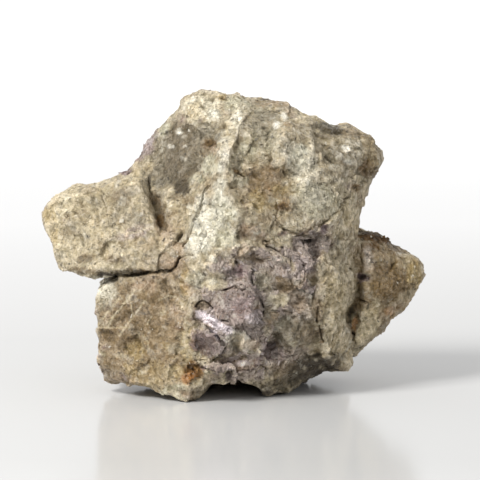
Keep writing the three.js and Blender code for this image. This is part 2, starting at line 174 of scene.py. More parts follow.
QUARTZ_PATCHES = (
    ("quartz", 0.9, -20, 78, 13, 13, 30), ("smoky", 0.75, -17, 82, 6, 8), ("smoky", 1, -12.5, 88, 3.8, 3.4),
    ("quartz", 0.85, -9.5, 87, 5, 6), ("quartz", 0.5, -13, 77, 5, 6), ("smoky", 0.6, -19, 74, 6, 4),
    ("grey", 0.45, -26, 79, 3, 5, -30), ("quartz", 0.9, -26, 70, 3.5, 2), ("dark", 1, -18.2, 68.2, 3.8, 3, -12),
    ("dirt", 0.22, -18.2, 68.2, 3.4, 2.6, -12), ("green", 0.75, -12.3, 71, 2.5, 2.5),
    ("umber", 0.6, -15.5, 64, 8, 1.4, -4), ("tan", 0.8, -19, 58, 6, 6), ("brown", 0.3, -20, 56, 5, 6),
    ("pink", 0.6, -23, 52.5, 4, 4), ("cream", 0.6, -20.5, 62, 2.2, 1.4), ("umber", 0.6, -16.3, 62, 1.6, 1.3),
    ("umber", 0.5, -22.5, 58.6, 3, 1.2), ("cream", 0.5, -15, 59, 1.4, 3.4, -20),
    # The umber and dirt at right -25 to -29, up 55 to 70, are painted shade in the cleft beside the slab's right
    # edge.
    ("umber", 0.85, -25.2, 58.5, 1.9, 5, 3), ("rust", 0.5, -25.2, 57, 1.1, 2.8),
    ("dirt", 0.35, -25.2, 55.8, 0.7, 1.4), ("umber", 0.8, -27, 64.5, 2.2, 2.4),
    ("dirt", 0.7, -28.9, 69.7, 0.6, 1.8), ("milky", 0.8, -18.5, 86.6, 1, 0.9),
    ("milky", 0.7, -21.2, 82, 1.6, 0.5, 10), ("milky", 0.8, -16.8, 82.2, 0.6, 0.5),
    ("milky", 0.55, -16.9, 77.7, 1.2, 0.8), ("white", 0.5, -24.6, 81, 0.7, 1.2),
    ("cream", 0.5, -28.5, 76, 2, 1.3, 20), ("green", 0.7, -24, 87, 1.3, 3.4, -40),
    ("smoky", 0.3, -20, 76, 9, 8, 20), ("mica", 0.98, -29.5, 82, 2.2, 5.5, -32),
    # The violet at right -28.3, up 83.5 is a painted sheen on the lepidolite selvage.
    ("plum", 0.3, -29.5, 82, 2, 5, -32), ("violet", 0.15, -28.3, 83.5, 0.9, 2.6, -32),
    ("plum", 0.8, -32.3, 78.7, 1.2, 2.6, -28), ("plum", 0.9, -37, 73.3, 2.4, 1.3, 20),
    ("umber", 0.8, -8.4, 83, 2.6, 2.2, -10), ("rust", 0.3, -8.6, 82.6, 2.2, 1.7, -10),
    ("umber", 0.6, -9.5, 79.5, 2.4, 1.6), ("pink", 0.6, -6.6, 80.6, 1.6, 1, 20),
    ("quartz", 0.7, -7.4, 88.6, 2, 1.6), ("smoky", 0.8, -3.3, 89, 1.1, 1.5),
)
KNOB_PATCHES = (
    ("cream", 1, -11, 95.5, 7, 6), ("white", 0.5, -11, 95.5, 6, 5), ("ochre", 0.35, -13.5, 94, 3, 3),
    ("white", 0.9, -6.6, 92.6, 2.2, 2), ("grey", 0.6, -12, 99.5, 3, 1.1), ("grey", 0.5, -17.3, 95.5, 1, 2.4, 20),
    ("ochre", 0.7, -3.9, 98.3, 1.7, 1.4, -30), ("rust", 0.4, -3.2, 98.2, 0.9, 0.7, -30),
    ("green", 0.8, 1, 96, 4.5, 3.4), ("quartz", 0.6, -0.6, 95.6, 0.9, 0.8),
)
RIDGE_PATCHES = (
    ("cream", 1, 1.5, 91, 3, 5.5, -25), ("white", 0.6, 1, 91, 2, 4.5, -25), ("cream", 0.8, -1.2, 87.5, 1.6, 2.6),
    ("white", 0.5, -3.4, 79, 1.9, 6.5, -8), ("white", 0.75, -4.4, 70, 2.4, 7), ("green", 0.7, -8, 75, 3, 4),
    # The umber down the ridge's right side, up 74 to 90, is painted shade on the flank turned from the light.
    ("umber", 0.55, 3.8, 89.5, 1.2, 6, -20), ("umber", 0.4, 1.2, 82, 1.1, 4, -15),
    ("green", 0.75, 0.6, 76, 2.6, 6, -8), ("umber", 0.6, 0.7, 76, 1.8, 4.6, -8),
    ("rust", 0.6, 1.5, 73, 1.6, 0.6, -25), ("green", 0.5, 10, 86, 6, 11), ("grey", 0.8, 9.5, 91, 6, 5),
    ("quartz", 0.62, 9.5, 88, 5, 6), ("grey", 0.5, 12, 80, 5, 6), ("brown", 0.7, 12.5, 96.6, 6, 1.3),
    # The thin dirt line at up 97.7 is painted shade along the edge of the top ledge.
    ("dirt", 0.8, 12.5, 97.7, 5.5, 0.3), ("quartz", 0.7, 13.5, 92.5, 1.7, 1.2),
    ("milky", 1, 16.8, 92.6, 1.5, 1.4), ("milky", 0.9, 14.5, 89, 1, 1.6), ("rust", 0.45, 18.2, 89.3, 1.4, 0.9),
    ("white", 0.4, 20, 80, 4.5, 4), ("green", 0.5, 5.5, 79, 2.2, 3.4), ("white", 1, 24, 75, 5.4, 6.5),
    ("white", 0.85, 24, 75, 5, 6),
)
CENTRE_PATCHES = (
    ("brown", 0.95, 11.5, 69.5, 9, 8), ("umber", 0.35, 11.5, 70, 6.5, 6), ("umber", 0.6, 8, 72.5, 3, 2),
    ("umber", 0.45, 12.5, 73.5, 3.5, 2), ("ochre", 0.6, 8, 63, 3.5, 4.5), ("ochre", 0.55, 17, 65, 5, 5),
    ("umber", 0.6, 17, 63.5, 5, 4), ("rust", 0.55, 17.4, 62, 2.6, 2.2), ("dirt", 0.5, 16.7, 61, 1.3, 1.3),
    ("rust", 0.45, 11.5, 67, 0.8, 3, 5), ("umber", 0.6, 4, 63, 1.2, 3), ("green", 0.5, 3, 70, 2.5, 1.6, 10),
    ("cream", 0.7, 24, 74, 5, 7), ("green", 0.6, 22.5, 78.5, 4, 4), ("cream", 0.7, 25.7, 82.5, 1.1, 4, 15),
    ("tan", 0.6, 30, 75, 5, 5), ("grey", 0.7, 28, 64, 10, 8, -15), ("green", 0.8, 29, 63.5, 8, 6, -15),
    ("white", 0.35, 28, 65, 5, 3, -15), ("grey", 0.7, 22, 55.5, 6, 2.4), ("umber", 0.55, 12, 57, 6, 3),
    ("umber", 0.3, 31, 60, 2.5, 1.2, 25), ("white", 0.42, 24, 75.5, 4.6, 5.6),
    ("brown", 0.15, 28, 64, 7, 5.5, -15), ("rust", 0.3, 17.4, 62, 2.4, 2),
)
LUMP_PATCHES = (
    ("grey", 0.9, 38, 77, 9, 9), ("smoky", 0.3, 38, 76, 7, 7), ("quartz", 0.3, 35.5, 78.5, 5, 4),
    ("dark", 1, 33, 87.2, 6.8, 2, -13), ("quartz", 0.7, 31, 88.8, 3.4, 1.1, -5),
    ("smoky", 0.8, 31.5, 85.3, 2.4, 0.8), ("umber", 0.5, 41, 86.5, 4.5, 1.3, -20),
    ("milky", 0.85, 38.3, 81.2, 1.3, 1), ("milky", 0.85, 38.3, 76.5, 1.3, 0.9), ("umber", 0.6, 47, 80, 3, 7, 10),
    ("rust", 0.6, 45, 75, 2.4, 3.2, 10), ("umber", 0.7, 47.5, 73, 2.4, 3.4, 30),
    ("ochre", 0.3, 47, 79, 2.4, 5, 10), ("rust", 0.75, 41.4, 67.8, 1.3, 2, 25), ("umber", 0.4, 37, 76, 2, 1, -30),
    ("tan", 1, 40.5, 60, 3.6, 8), ("ochre", 0.3, 40, 58, 3, 7), ("ochre", 0.35, 38.5, 58, 1.6, 5),
    ("umber", 0.5, 43.5, 62, 0.8, 6, 5), ("rust", 0.5, 41.8, 62.2, 0.8, 2.2, -10),
    ("cream", 0.75, 39.6, 60, 2.4, 6, 5),
)
BUTTRESS_PATCHES = (
    ("white", 0.95, -10, 55, 6, 11, -12), ("white", 0.8, -12.8, 48, 3.4, 4), ("green", 0.85, -4, 58, 4.5, 8),
    ("white", 0.6, -4, 60, 4, 7), ("umber", 0.5, -2.4, 56.5, 2.6, 1.6, 20), ("umber", 0.5, 2.6, 64, 1.2, 2.4, 30),
    ("dark", 0.7, 1.6, 51.8, 0.9, 1.8), ("green", 0.7, -4, 50, 5, 3.4), ("green", 0.35, -3, 58, 3, 5),
    ("quartz", 0.6, -2.8, 45.5, 1.8, 2), ("white", 0.7, -7.3, 44, 1.9, 1.6), ("cream", 0.8, -12, 42, 4, 3, 30),
    ("green", 0.5, -13, 37, 3.4, 3), ("cream", 0.95, -6.4, 35.7, 4, 3.2), ("white", 0.5, -6.6, 36, 2.2, 1.6),
    ("pink", 0.85, 6.5, 53, 3.6, 2.8), ("white", 0.7, 8, 52.5, 1.4, 0.9, 20),
    ("umber", 0.75, 9.5, 49.6, 3, 1.4, -10), ("pink", 0.9, 3.6, 46.2, 4.8, 1.3, 38),
    ("umber", 0.65, 7, 43.5, 4, 1.2, -8), ("grey", 0.5, 2, 48.5, 1.6, 2),
)
MICA_PATCHES = (
    ("mica", 0.6, 19, 30, 11, 14), ("mica", 0.6, 17, 9, 10, 6, 10), ("mica", 0.7, 29, 50, 5, 5),
    ("pale", 0.5, 22, 11, 4, 2.4, 30), ("mica", 0.9, 3, 27, 18, 22), ("mica", 0.85, 24, 46, 7, 8),
    ("mica", 0.6, 14, 43, 6, 6), ("pale", 0.1, 14, 42.5, 5.6, 5.6, -20), ("quartz", 0.4, 12.5, 46.4, 2, 1.6, -30),
    ("quartz", 0.6, 10.5, 36.5, 4, 4.6, 15), ("green", 0.3, 10, 35.5, 2.6, 3.2), ("pale", 0.7, 23, 41, 3.4, 4),
    ("umber", 0.7, 18, 52.2, 3, 0.9), ("dark", 0.75, 24, 51.3, 3, 0.8), ("plum", 0.5, 17, 52.4, 2.2, 1, 10),
    ("plum", 0.95, 30.7, 54.1, 1.8, 1.8, 20), ("umber", 0.95, 17.6, 34.3, 4, 2.8, -25),
    ("cream", 1, 15.3, 30, 4, 2.6), ("white", 0.4, 15, 29.6, 3, 1.8), ("ochre", 0.3, 15.3, 29.4, 3, 1.8),
    ("brown", 0.7, 12.5, 24, 2.8, 3), ("quartz", 1, 18.5, 19.5, 5.4, 5.4), ("smoky", 0.4, 19.5, 18, 4, 4),
    ("smoky", 0.75, 25, 18.5, 4.4, 6), ("umber", 0.4, 25.5, 19, 3.4, 4.4), ("smoky", 0.6, 17, 21.5, 1.8, 2.6),
    ("pink", 0.7, 22.5, 28.5, 3, 2.8), ("brown", 0.6, 27.5, 27.5, 2, 4), ("pale", 0.9, 26.5, 33, 2, 1.4),
    ("plum", 0.6, 24.5, 34.5, 1.2, 2, 30), ("pale", 0.5, 13, 12.6, 3.8, 3, -20),
    ("plum", 0.8, 11.2, 13.8, 0.9, 1.5, -20), ("pale", 0.7, 13.2, 14.2, 1.6, 0.8, -30),
    ("pale", 0.5, 14.6, 11.8, 2.6, 0.8, -30), ("plum", 0.4, 15, 10.5, 3.4, 2, 15),
    ("smoky", 0.5, 20, 13, 3.4, 2.4), ("grey", 0.6, 16.4, 20.8, 1.1, 2, -20),
    ("grey", 0.6, 18.8, 17.4, 1.6, 0.8, 20), ("smoky", 0.7, 20, 20.5, 1.6, 2.4),
    ("dark", 0.6, 15.2, 17.2, 0.9, 1.6, 20), ("white", 0.5, 18.6, 23.4, 0.8, 0.5),
    ("plum", 1, 1.6, 39.7, 4, 2.6, 10), ("dirt", 0.4, 1.2, 39.6, 3, 1.8, 10), ("dirt", 0.6, -1.8, 39.6, 3, 0.7),
    ("milky", 0.9, -4, 37.3, 1.2, 1), ("pale", 0.25, -5, 27.5, 5, 3, -10), ("plum", 0.3, 0, 28, 9, 8),
    ("plum", 0.35, 4, 27, 5, 4, 20), ("quartz", 0.7, 11.8, 29.5, 2.2, 6), ("white", 0.4, -10.5, 36.5, 2.4, 3),
    # The violet patches from here down to up 8 are painted highlights where the mica plates catch the light.
    ("plum", 0.45, 2.6, 28.4, 3.4, 2.6), ("violet", 0.25, 6.4, 23.6, 2.8, 2.2, 20),
    ("umber", 0.5, 7.8, 28.3, 1.2, 2, 20), ("umber", 0.6, -11, 27.3, 3, 2), ("pale", 0.8, 5.8, 38, 0.7, 2.4),
    # The dirt at right -3.4, up 22.5 is painted shade in the pit there.
    ("violet", 0.6, -1.5, 19.6, 2.6, 1, -20), ("dirt", 0.8, -3.4, 22.5, 2, 0.6, -14),
    ("quartz", 0.5, -12.5, 21.5, 1.8, 2.4), ("plum", 0.7, -9.8, 14.5, 4.4, 5),
    ("violet", 0.75, -6.6, 18.2, 2.6, 0.7, -48), ("pale", 0.7, -4.7, 13.6, 1.4, 2.4),
    ("pale", 1, 2.6, 15.5, 4.4, 4.6), ("white", 0.65, 2.6, 15.4, 4.4, 4), ("white", 0.7, 1.6, 16, 4, 3.6),
    ("pink", 0.3, 2.2, 15.2, 3.6, 3.6), ("cream", 0.35, 2.2, 15.2, 3, 3), ("ochre", 0.35, 2.3, 14, 1, 2.4),
    ("cream", 0.9, 7, 12.6, 0.9, 0.6), ("pink", 0.6, 5.6, 14.5, 3.4, 2, 20), ("plum", 0.7, -5, 7.6, 7, 2, 8),
    ("plum", 0.5, -3, 9.4, 4.5, 0.9, 8), ("plum", 0.5, -10.6, 6.8, 2, 0.8, 20), ("pale", 1, 4, 7.4, 6, 2.6, 5),
    ("pink", 0.65, 3.8, 7.6, 4.4, 2.4, 10), ("violet", 0.5, 3.2, 8, 2.6, 1.1, 15),
    ("milky", 0.6, 3.4, 8, 1.2, 0.8), ("plum", 0.45, 9.5, 8, 2.6, 2.4), ("plum", 0.4, -6.5, 3.2, 3.4, 2.4, 30),
    # The dirt at right -1.6, up 3.6 is painted shade in the pit there.
    ("dirt", 0.85, -1.6, 3.6, 1.5, 1.8), ("umber", 0.5, 5, 3.5, 5, 1.4), ("umber", 0.7, 18, 5, 5.5, 3.4, 15),
    ("pale", 0.6, 4, 3.6, 7, 2.4), ("smoky", 0.9, 20.5, 3.4, 6, 3, 20), ("dark", 0.8, 21.5, 3.6, 4.6, 2.2, 20),
    ("dark", 1, 28, 6.4, 8.8, 4.8, 15), ("dark", 0.9, 29, 7.6, 6.4, 3, 10), ("dark", 0.85, 25, 2.6, 10, 2.8, 14),
    # The dirt at right 2, up -2 is painted shade under the arch.
    ("dirt", 0.45, 27.5, 6, 8, 4.2, 15), ("dark", 0.7, 13, 0.4, 8, 2.2, 5), ("dirt", 0.9, 2, -2, 11, 2.4),
    ("grey", 0.8, 27.8, 9.2, 1.3, 0.9, 20), ("grey", 0.7, 29.8, 6.8, 1.2, 0.9, -20),
    ("grey", 0.6, 26.2, 3.4, 1, 0.7, 40), ("grey", 0.6, 24, 6.2, 0.9, 0.6, 20),
    ("quartz", 0.7, 31.5, 3.6, 1.4, 0.7, 30), ("quartz", 0.5, 20.5, 4, 0.8, 1.3),
    ("quartz", 0.5, 24, 11, 3, 1.2, 25),
)
BLOCK_PATCHES = (
    ("brown", 1, -30, 19, 19, 22), ("umber", 0.4, -34, 26, 10, 9, 30), ("white", 1, -44.3, 34, 4.2, 5),
    ("cream", 0.3, -44, 33, 3, 4), ("grey", 0.6, -43.5, 29, 3, 3), ("pink", 0.8, -30.5, 35, 5.4, 3),
    ("pink", 0.85, -19.5, 42, 3.6, 3), ("pink", 0.6, -26, 38, 5, 1.6, 10), ("umber", 0.55, -23.6, 34.6, 2.2, 2.8),
    ("umber", 0.55, -22.3, 28, 3, 1.8), ("umber", 0.35, -39.5, 34, 2.4, 2), ("ochre", 0.9, -16.7, 35.5, 1.9, 6),
    ("orange", 0.14, -16.7, 35.5, 1.4, 5), ("ochre", 0.7, -16, 14.5, 2.4, 8),
    ("cream", 0.65, -16.6, 28, 2.6, 2.4), ("cream", 0.45, -17, 17, 1.6, 4),
    ("umber", 0.6, -37, 25.5, 3.4, 2.4, 35), ("umber", 0.6, -31, 25.5, 2.6, 3.4),
    ("umber", 0.35, -41.6, 24, 2.6, 1.6, 45), ("umber", 0.35, -35, 20.7, 5, 1.2),
    ("umber", 0.75, -43.5, 17.5, 3, 2.8), ("umber", 0.55, -37.4, 14.4, 3.4, 2.4),
    ("umber", 0.35, -30, 19, 1.6, 1.4), ("umber", 0.4, -34, 4.5, 3.6, 1.8), ("umber", 0.4, -24.5, 10, 4, 1, 15),
    ("ochre", 0.5, -33, 11.5, 3.6, 4.4), ("ochre", 0.45, -35.5, 6, 2.4, 1.8),
    ("ochre", 0.45, -22.5, 13.5, 1.6, 2), ("pink", 0.45, -19.5, 24.5, 3.6, 5),
    ("pink", 0.5, -39, 2.6, 5, 1.4, -5), ("grey", 0.5, -20.2, 12.8, 2.6, 2.2),
    ("cream", 0.75, -21, 4.5, 3.4, 2.6), ("cream", 0.5, -26.5, 2.6, 3, 1.4), ("pink", 0.3, -25, 3, 7, 2),
    ("ochre", 0.35, -27, 4, 9, 5), ("cream", 0.2, -25, 2.6, 6, 1.6), ("cream", 0.65, -32.2, 18, 1.1, 1),
    ("cream", 0.55, -24, 25, 1.3, 1), ("cream", 0.85, -31.3, 5, 1, 0.8), ("cream", 0.5, -38, 10.6, 2.4, 0.9, -20),
    ("rust", 0.8, -18.3, 20, 1, 0.4), ("rust", 1, -14.3, 6, 4.4, 3.2), ("ochre", 0.5, -18.5, 5, 2, 2.4),
    ("dirt", 0.5, -15, 7, 1.6, 1.1), ("orange", 0.16, -14.8, 4.4, 3.2, 2), ("orange", 0.6, -16.2, 2.6, 2.4, 1.6),
    ("orange", 0.3, -13.8, 16, 0.5, 3), ("cream", 0.35, -16, 15, 1.7, 6), ("grey", 0.85, -14.8, -1.5, 4.6, 2.4),
    ("umber", 0.6, -15, -2.2, 5, 2.2), ("pink", 0.6, -17, -2.4, 3, 1.3, -15),
)
COLUMN_PATCHES = (
    ("tan", 0.95, 35.5, 36, 6, 20), ("tan", 0.55, 35.5, 33, 5, 18), ("cream", 0.4, 35.5, 30, 3.4, 10),
    ("ochre", 0.35, 33.5, 30, 4, 10), ("cream", 0.55, 34, 22.5, 2.6, 6), ("ochre", 0.4, 36.5, 13, 3.4, 5.5),
    ("tan", 0.75, 37, 13, 4, 7), ("umber", 0.6, 36.5, 6, 2.6, 1.6, 15), ("smoky", 0.6, 32.3, 48, 1.8, 2.2, 30),
    ("smoky", 0.6, 29, 41.8, 0.9, 1.5), ("smoky", 0.5, 32, 38.5, 1.8, 1.1, 50), ("umber", 0.5, 37, 44, 1.2, 1.6),
    ("umber", 0.4, 40, 47.5, 1.5, 2.6), ("umber", 0.6, 39.2, 22, 1, 5), ("cream", 0.6, 41.2, 34, 0.6, 3),
    ("umber", 0.7, 29.2, 18, 0.8, 4), ("rust", 0.7, 29.6, 15.2, 1.2, 1),
)
TAIL_PATCHES = (
    ("brown", 1, 52, 34, 15, 20), ("ochre", 0.3, 54, 36, 12, 12), ("umber", 1, 53.5, 36.5, 8.5, 7.5, -20),
    ("ochre", 0.25, 56, 40, 3, 2, -20), ("umber", 0.6, 51, 31, 4, 3), ("ochre", 0.3, 54, 35, 7, 6),
    ("rust", 0.3, 54, 36, 7, 6), ("rust", 0.95, 47, 51.2, 6.6, 1.7, -4), ("dirt", 0.8, 49, 50.9, 7, 1.5, -12),
    ("rust", 0.75, 47.5, 48, 2.8, 1.1, -20), ("rust", 0.55, 49, 50.5, 6, 1.4, -8),
    ("umber", 0.5, 55, 46.5, 4, 1.8, -30), ("pink", 1, 45.6, 43.7, 2.6, 4.6), ("white", 0.4, 45.6, 43.7, 2, 3.8),
    ("pale", 0.4, 45.4, 44, 1.4, 3), ("plum", 0.9, 44.6, 37.6, 3.2, 1.6), ("dirt", 0.7, 44.3, 37.4, 1.8, 0.9),
    ("smoky", 0.5, 50, 38, 2.6, 1.6), ("umber", 0.6, 43.6, 32, 1.6, 2.4), ("cream", 0.55, 60.5, 42.5, 4, 3, -15),
    ("tan", 0.65, 62.5, 37.5, 2.2, 5), ("ochre", 0.9, 61.5, 39, 2.6, 5), ("rust", 0.12, 61.5, 39, 2.6, 5),
    ("tan", 0.6, 58, 30.5, 5, 2, 35), ("orange", 0.35, 52.5, 25.8, 1.8, 1.6), ("pink", 0.5, 55, 27, 3.4, 2, 25),
    ("tan", 1, 45.3, 22.5, 4.8, 7.4, -30), ("cream", 0.95, 45.3, 22, 4.4, 6.4, -30),
    ("ochre", 0.25, 45.3, 22, 4.4, 6.4, -30), ("ochre", 0.25, 46, 26, 3, 2),
    ("orange", 0.55, 40.9, 21, 1, 3.8, -8), ("dirt", 0.85, 39.9, 26, 1.2, 1.6, 30),
)
PATCHES = (
    *BASE_PATCHES,
    *BLOCK_PATCHES,
    *LEDGE_PATCHES,
    *QUARTZ_PATCHES,
    *KNOB_PATCHES,
    *RIDGE_PATCHES,
    *CENTRE_PATCHES,
    *LUMP_PATCHES,
    *TAIL_PATCHES,
    *COLUMN_PATCHES,
    *MICA_PATCHES,
    *BUTTRESS_PATCHES,
)

# Veins: mineral, half width, strength, points. The shining ones on the mica are painted highlight, a bright sheen
# along the plates; the fine ones lie in the feldspar.
PAINTED_SHEEN_VEINS = (
    ("violet", 1, 0.35, ((-5.5, 20.8), (-3.6, 19.4), (-1.8, 18.6))),
    ("violet", 1.5, 0.8, ((-11.2, 24.6), (-8.4, 22.9), (-5.4, 21))),
)
FINE_VEINS = (
    ("cream", 0.35, 0.55, ((-46, 21.5), (-43.5, 25), (-41, 28), (-39, 30))),
    ("cream", 0.4, 0.66, ((-43.2, 20.3), (-40.5, 24.5), (-37, 29), (-33.5, 33.5))),
    ("cream", 0.35, 0.55, ((-39, 17.5), (-36.5, 21), (-33.5, 25), (-30.3, 29.5))),
    ("cream", 0.3, 0.45, ((-35.5, 30.5), (-34.8, 27), (-34.3, 24.5))),
    ("cream", 0.3, 0.6, ((-29.8, 21.3), (-28.3, 23.6))),
    ("cream", 0.3, 0.58, ((-31, 17.8), (-29.4, 15.5), (-29.2, 12.5))),
    ("cream", 0.25, 0.52, ((-46.5, 20.2), (-40, 20.3), (-35.5, 20.2))),
    ("cream", 0.35, 0.55, ((-25.5, 29.5), (-22, 31), (-19, 30.5))),
    ("cream", 0.5, 0.5, ((-28, 55.2), (-32, 53), (-37, 52))),
)

# Cracks: half width, depth, points. They are painted dark inside, as shade in them.
CRACKS = (
    (0.45, 2.5, ((-40, 37.9), (-37, 37.7), (-32, 38.3), (-28.5, 38.9), (-25, 39.1), (-22, 39.2))),
    (0.55, 3.5, ((-22, 39.2), (-20.4, 40.1), (-19.6, 42), (-18.7, 43.8))),
    (0.2, 0.6, ((-18.7, 43.8), (-16.5, 44.8), (-14, 45))),
    (0.2, 0.45, ((-26, 39.2), (-25.7, 42), (-25.3, 45), (-23, 46), (-21, 47.5), (-19.8, 49.4))),
    (0.5, 1.5, ((-19.1, 50.2), (-18.3, 52.2))),
    (0.25, 1.5, ((-17.5, 48), (-16, 50.3), (-15.2, 53), (-14, 56.6))),
    (0.42, 4.5, ((-14, 56.6), (-13, 58.5), (-12.2, 60.3))),
    (0.28, 3.2, ((-12.2, 60.3), (-11, 62), (-10.7, 64), (-10.7, 66), (-9.8, 67.8), (-9, 68.6))),
    (0.3, 1, ((-6.1, 59.3), (-5.6, 57.3))),
    (0.2, 0.6, ((-45.5, 67.5), (-45.1, 65), (-44.2, 63), (-43.5, 61), (-43.4, 60))),
    (0.2, 0.5, ((-46.2, 62.5), (-45.2, 61))),
    (0.45, 3, ((6.2, 40), (5.9, 37.5), (6.1, 35.5), (7.2, 33), (8.4, 30.8), (9.4, 28.6), (9.8, 26.5))),
    (0.5, 3, ((9.8, 26.5), (9.6, 24.5), (8.8, 22.5), (7.6, 21))),
    (0.3, 1.2, ((7.6, 21), (6.4, 20.4), (4.6, 20.6), (2.6, 20.9))),
    (0.35, 1.5, ((2.9, 20.4), (4.6, 18.3), (6.8, 16.3))),
    (0.3, 1, ((4.8, 19.6), (7.5, 19.4), (9.8, 19.8))),
    (0.55, 3.4, ((-9.5, 20.7), (-7.8, 19.4), (-6, 17.4), (-4.4, 15.6), (-2.8, 13.8))),
    (0.45, 2.4, ((-2.8, 13.8), (-3.6, 12.3), (-5.4, 10.8), (-7.2, 9.8))),
    (0.25, 0.8, ((-7.2, 9.8), (-10, 9.2), (-13, 9.2))),
    (0.4, 1.5, ((-13, 27.4), (-12, 28.7), (-10.9, 29.4), (-9.5, 28.8), (-7.6, 27))),
    (0.3, 1, ((-3.8, 33), (-2, 33.4), (0, 34.4))),
    (0.3, 1, ((0.6, 34.5), (1.4, 33.2), (2.8, 32.7), (4.2, 33.4))),
    (0.3, 0.8, ((12.8, 25.8), (15.5, 25.7), (18.3, 25.7))),
    (0.4, 1.4, ((11.2, 47.9), (13.2, 47.3), (15.3, 46), (17.2, 44.6))),
    (0.3, 1, ((19.2, 44), (19.3, 42.6), (19.6, 41.2))),
    (0.25, 0.7, ((19.6, 43.5), (21.5, 43.6), (23, 42.8), (24, 41), (24.3, 38.5), (24.2, 36.5))),
    (0.25, 0.7, ((14.5, 60), (14.2, 57.5), (15.2, 54.8), (17, 53.3), (20, 52.3), (23, 52), (26.5, 52.8))),
    (0.3, 0.9, ((26.5, 52.8), (29.3, 54.4), (31.3, 56.3), (33.6, 58.2), (36.2, 60.3), (38.4, 63.2))),
    (0.3, 1.2, ((36.8, 62.3), (37.8, 63.8), (39, 64.4))),
    (0.3, 1, ((1, 73.6), (2.2, 72.2), (3.6, 71.4))),
    (0.3, 1.2, ((43.3, 48.5), (43.3, 45), (43.2, 41.5))),
    (0.4, 1.4, ((42, 30.4), (43.3, 29.4), (45.5, 29))),
    (0.9, 3, ((41, 28), (39.9, 26.6), (39.4, 25), (39.6, 22.5))),
    (0.35, 2.2, ((39.6, 22.5), (40.2, 19.5), (40.8, 17.5), (41.3, 15.3))),
    (0.45, 2, ((28.5, 26.8), (28.3, 24.4), (28.3, 22.2))),
    (0.3, 1.4, ((29, 21), (29.6, 18.5), (30, 16), (30.4, 15.4))),
    (0.25, 1, ((34.9, 17.5), (34.4, 15.4), (33.9, 13.8), (33.1, 12.3), (33, 11))),
    (0.25, 0.8, ((35.2, 25), (34.9, 23.4))),
    (0.3, 1, ((0.4, 9.8), (3, 10.3), (5.6, 11.2))),
    (0.3, 1, ((-10.8, 6.6), (-9, 5.9), (-8.4, 5))),
    (0.3, 1, ((-3, 4.6), (-0.6, 5.3), (2, 5.8), (5, 5.8))),
    (0.25, 1, ((-29, 71), (-28.9, 69), (-28.4, 66.6))),
    (0.3, 0.5, ((-28.4, 66.6), (-26.4, 64.6), (-25.2, 61), (-24.9, 55))),
)

# The share of a crack's width and depth that is cut, and how dark the painted shade in the deepest cracks is.
CRACK_WIDTH_SHARE = 0.8
CRACK_DEPTH_SHARE = 0.8
CRACK_PAINTED_SHADE = 0.95
# The long cracks behind the front: how far apart and how wide they are, how deep, how dark their painted shade is,
# and from which share of their depth on they count as cracks.
SEAM_PITCH = 30.0
SEAM_WIDTH = 0.6
SEAM_DEPTH = 1.4
SEAM_PAINTED_SHADE = 0.8
SEAM_TRACE = 0.03

# Steps: rise of the left-hand side when walking along the points, and how far back the rise tails off.
STEPS = (
    (0.6, 7, ((-1.8, 74), (-1.4, 80), (1.2, 84.5), (2.2, 89), (5.8, 93.5))),
    (0.6, 4, ((18.7, 94.2), (18.5, 99))),
    (0.9, 5, ((27, 86), (30, 85), (34, 84.4), (38, 83), (40.5, 81.6))),
    (2.2, 9, ((7.6, 21), (9.2, 23.3), (9.8, 26.5), (8.4, 30.8), (6.1, 35.5), (6.2, 40))),
    (2.2, 6, ((-7.2, 9.6), (-5.2, 10.8), (-2.8, 13.7), (-6, 17.5), (-9.6, 20.8))),
    (1, 5, ((17.6, 44.2), (15.3, 46), (13.2, 47.3), (11, 48))),
    (1.2, 6, ((38.4, 63.2), (33.6, 58.2), (29.3, 54.4), (23, 51.8), (17, 53), (14.4, 57.5))),
    (0.7, 5, ((-35.5, 20.2), (-46.5, 20.2))),
    (0.7, 3, ((-13.6, 8), (-12.9, 12), (-13.3, 15), (-12.8, 19), (-13.9, 24), (-14.3, 30), (-15.6, 35))),
    (0.5, 8, ((-26, 54.5), (-26.9, 58), (-26.5, 61), (-28.4, 66.6), (-29.2, 71))),
    (0.5, 4, ((20.8, 13), (22.8, 16.2), (21.6, 20), (23, 24.5))),
    (0.8, 4, ((22.3, 24.8), (18.3, 25.6), (13.6, 25.4))),
    (0.9, 4, ((34.5, 11.4), (29, 11), (24.5, 9.6), (20.5, 6))),
    (0.9, 6, ((-14, 44.6), (-19, 43.6), (-20.4, 40.3), (-25, 39.2), (-31, 38.4), (-38, 37.9))),
    (0.9, 6, ((-26, 39.2), (-25.4, 45), (-19.8, 49.4))),
)

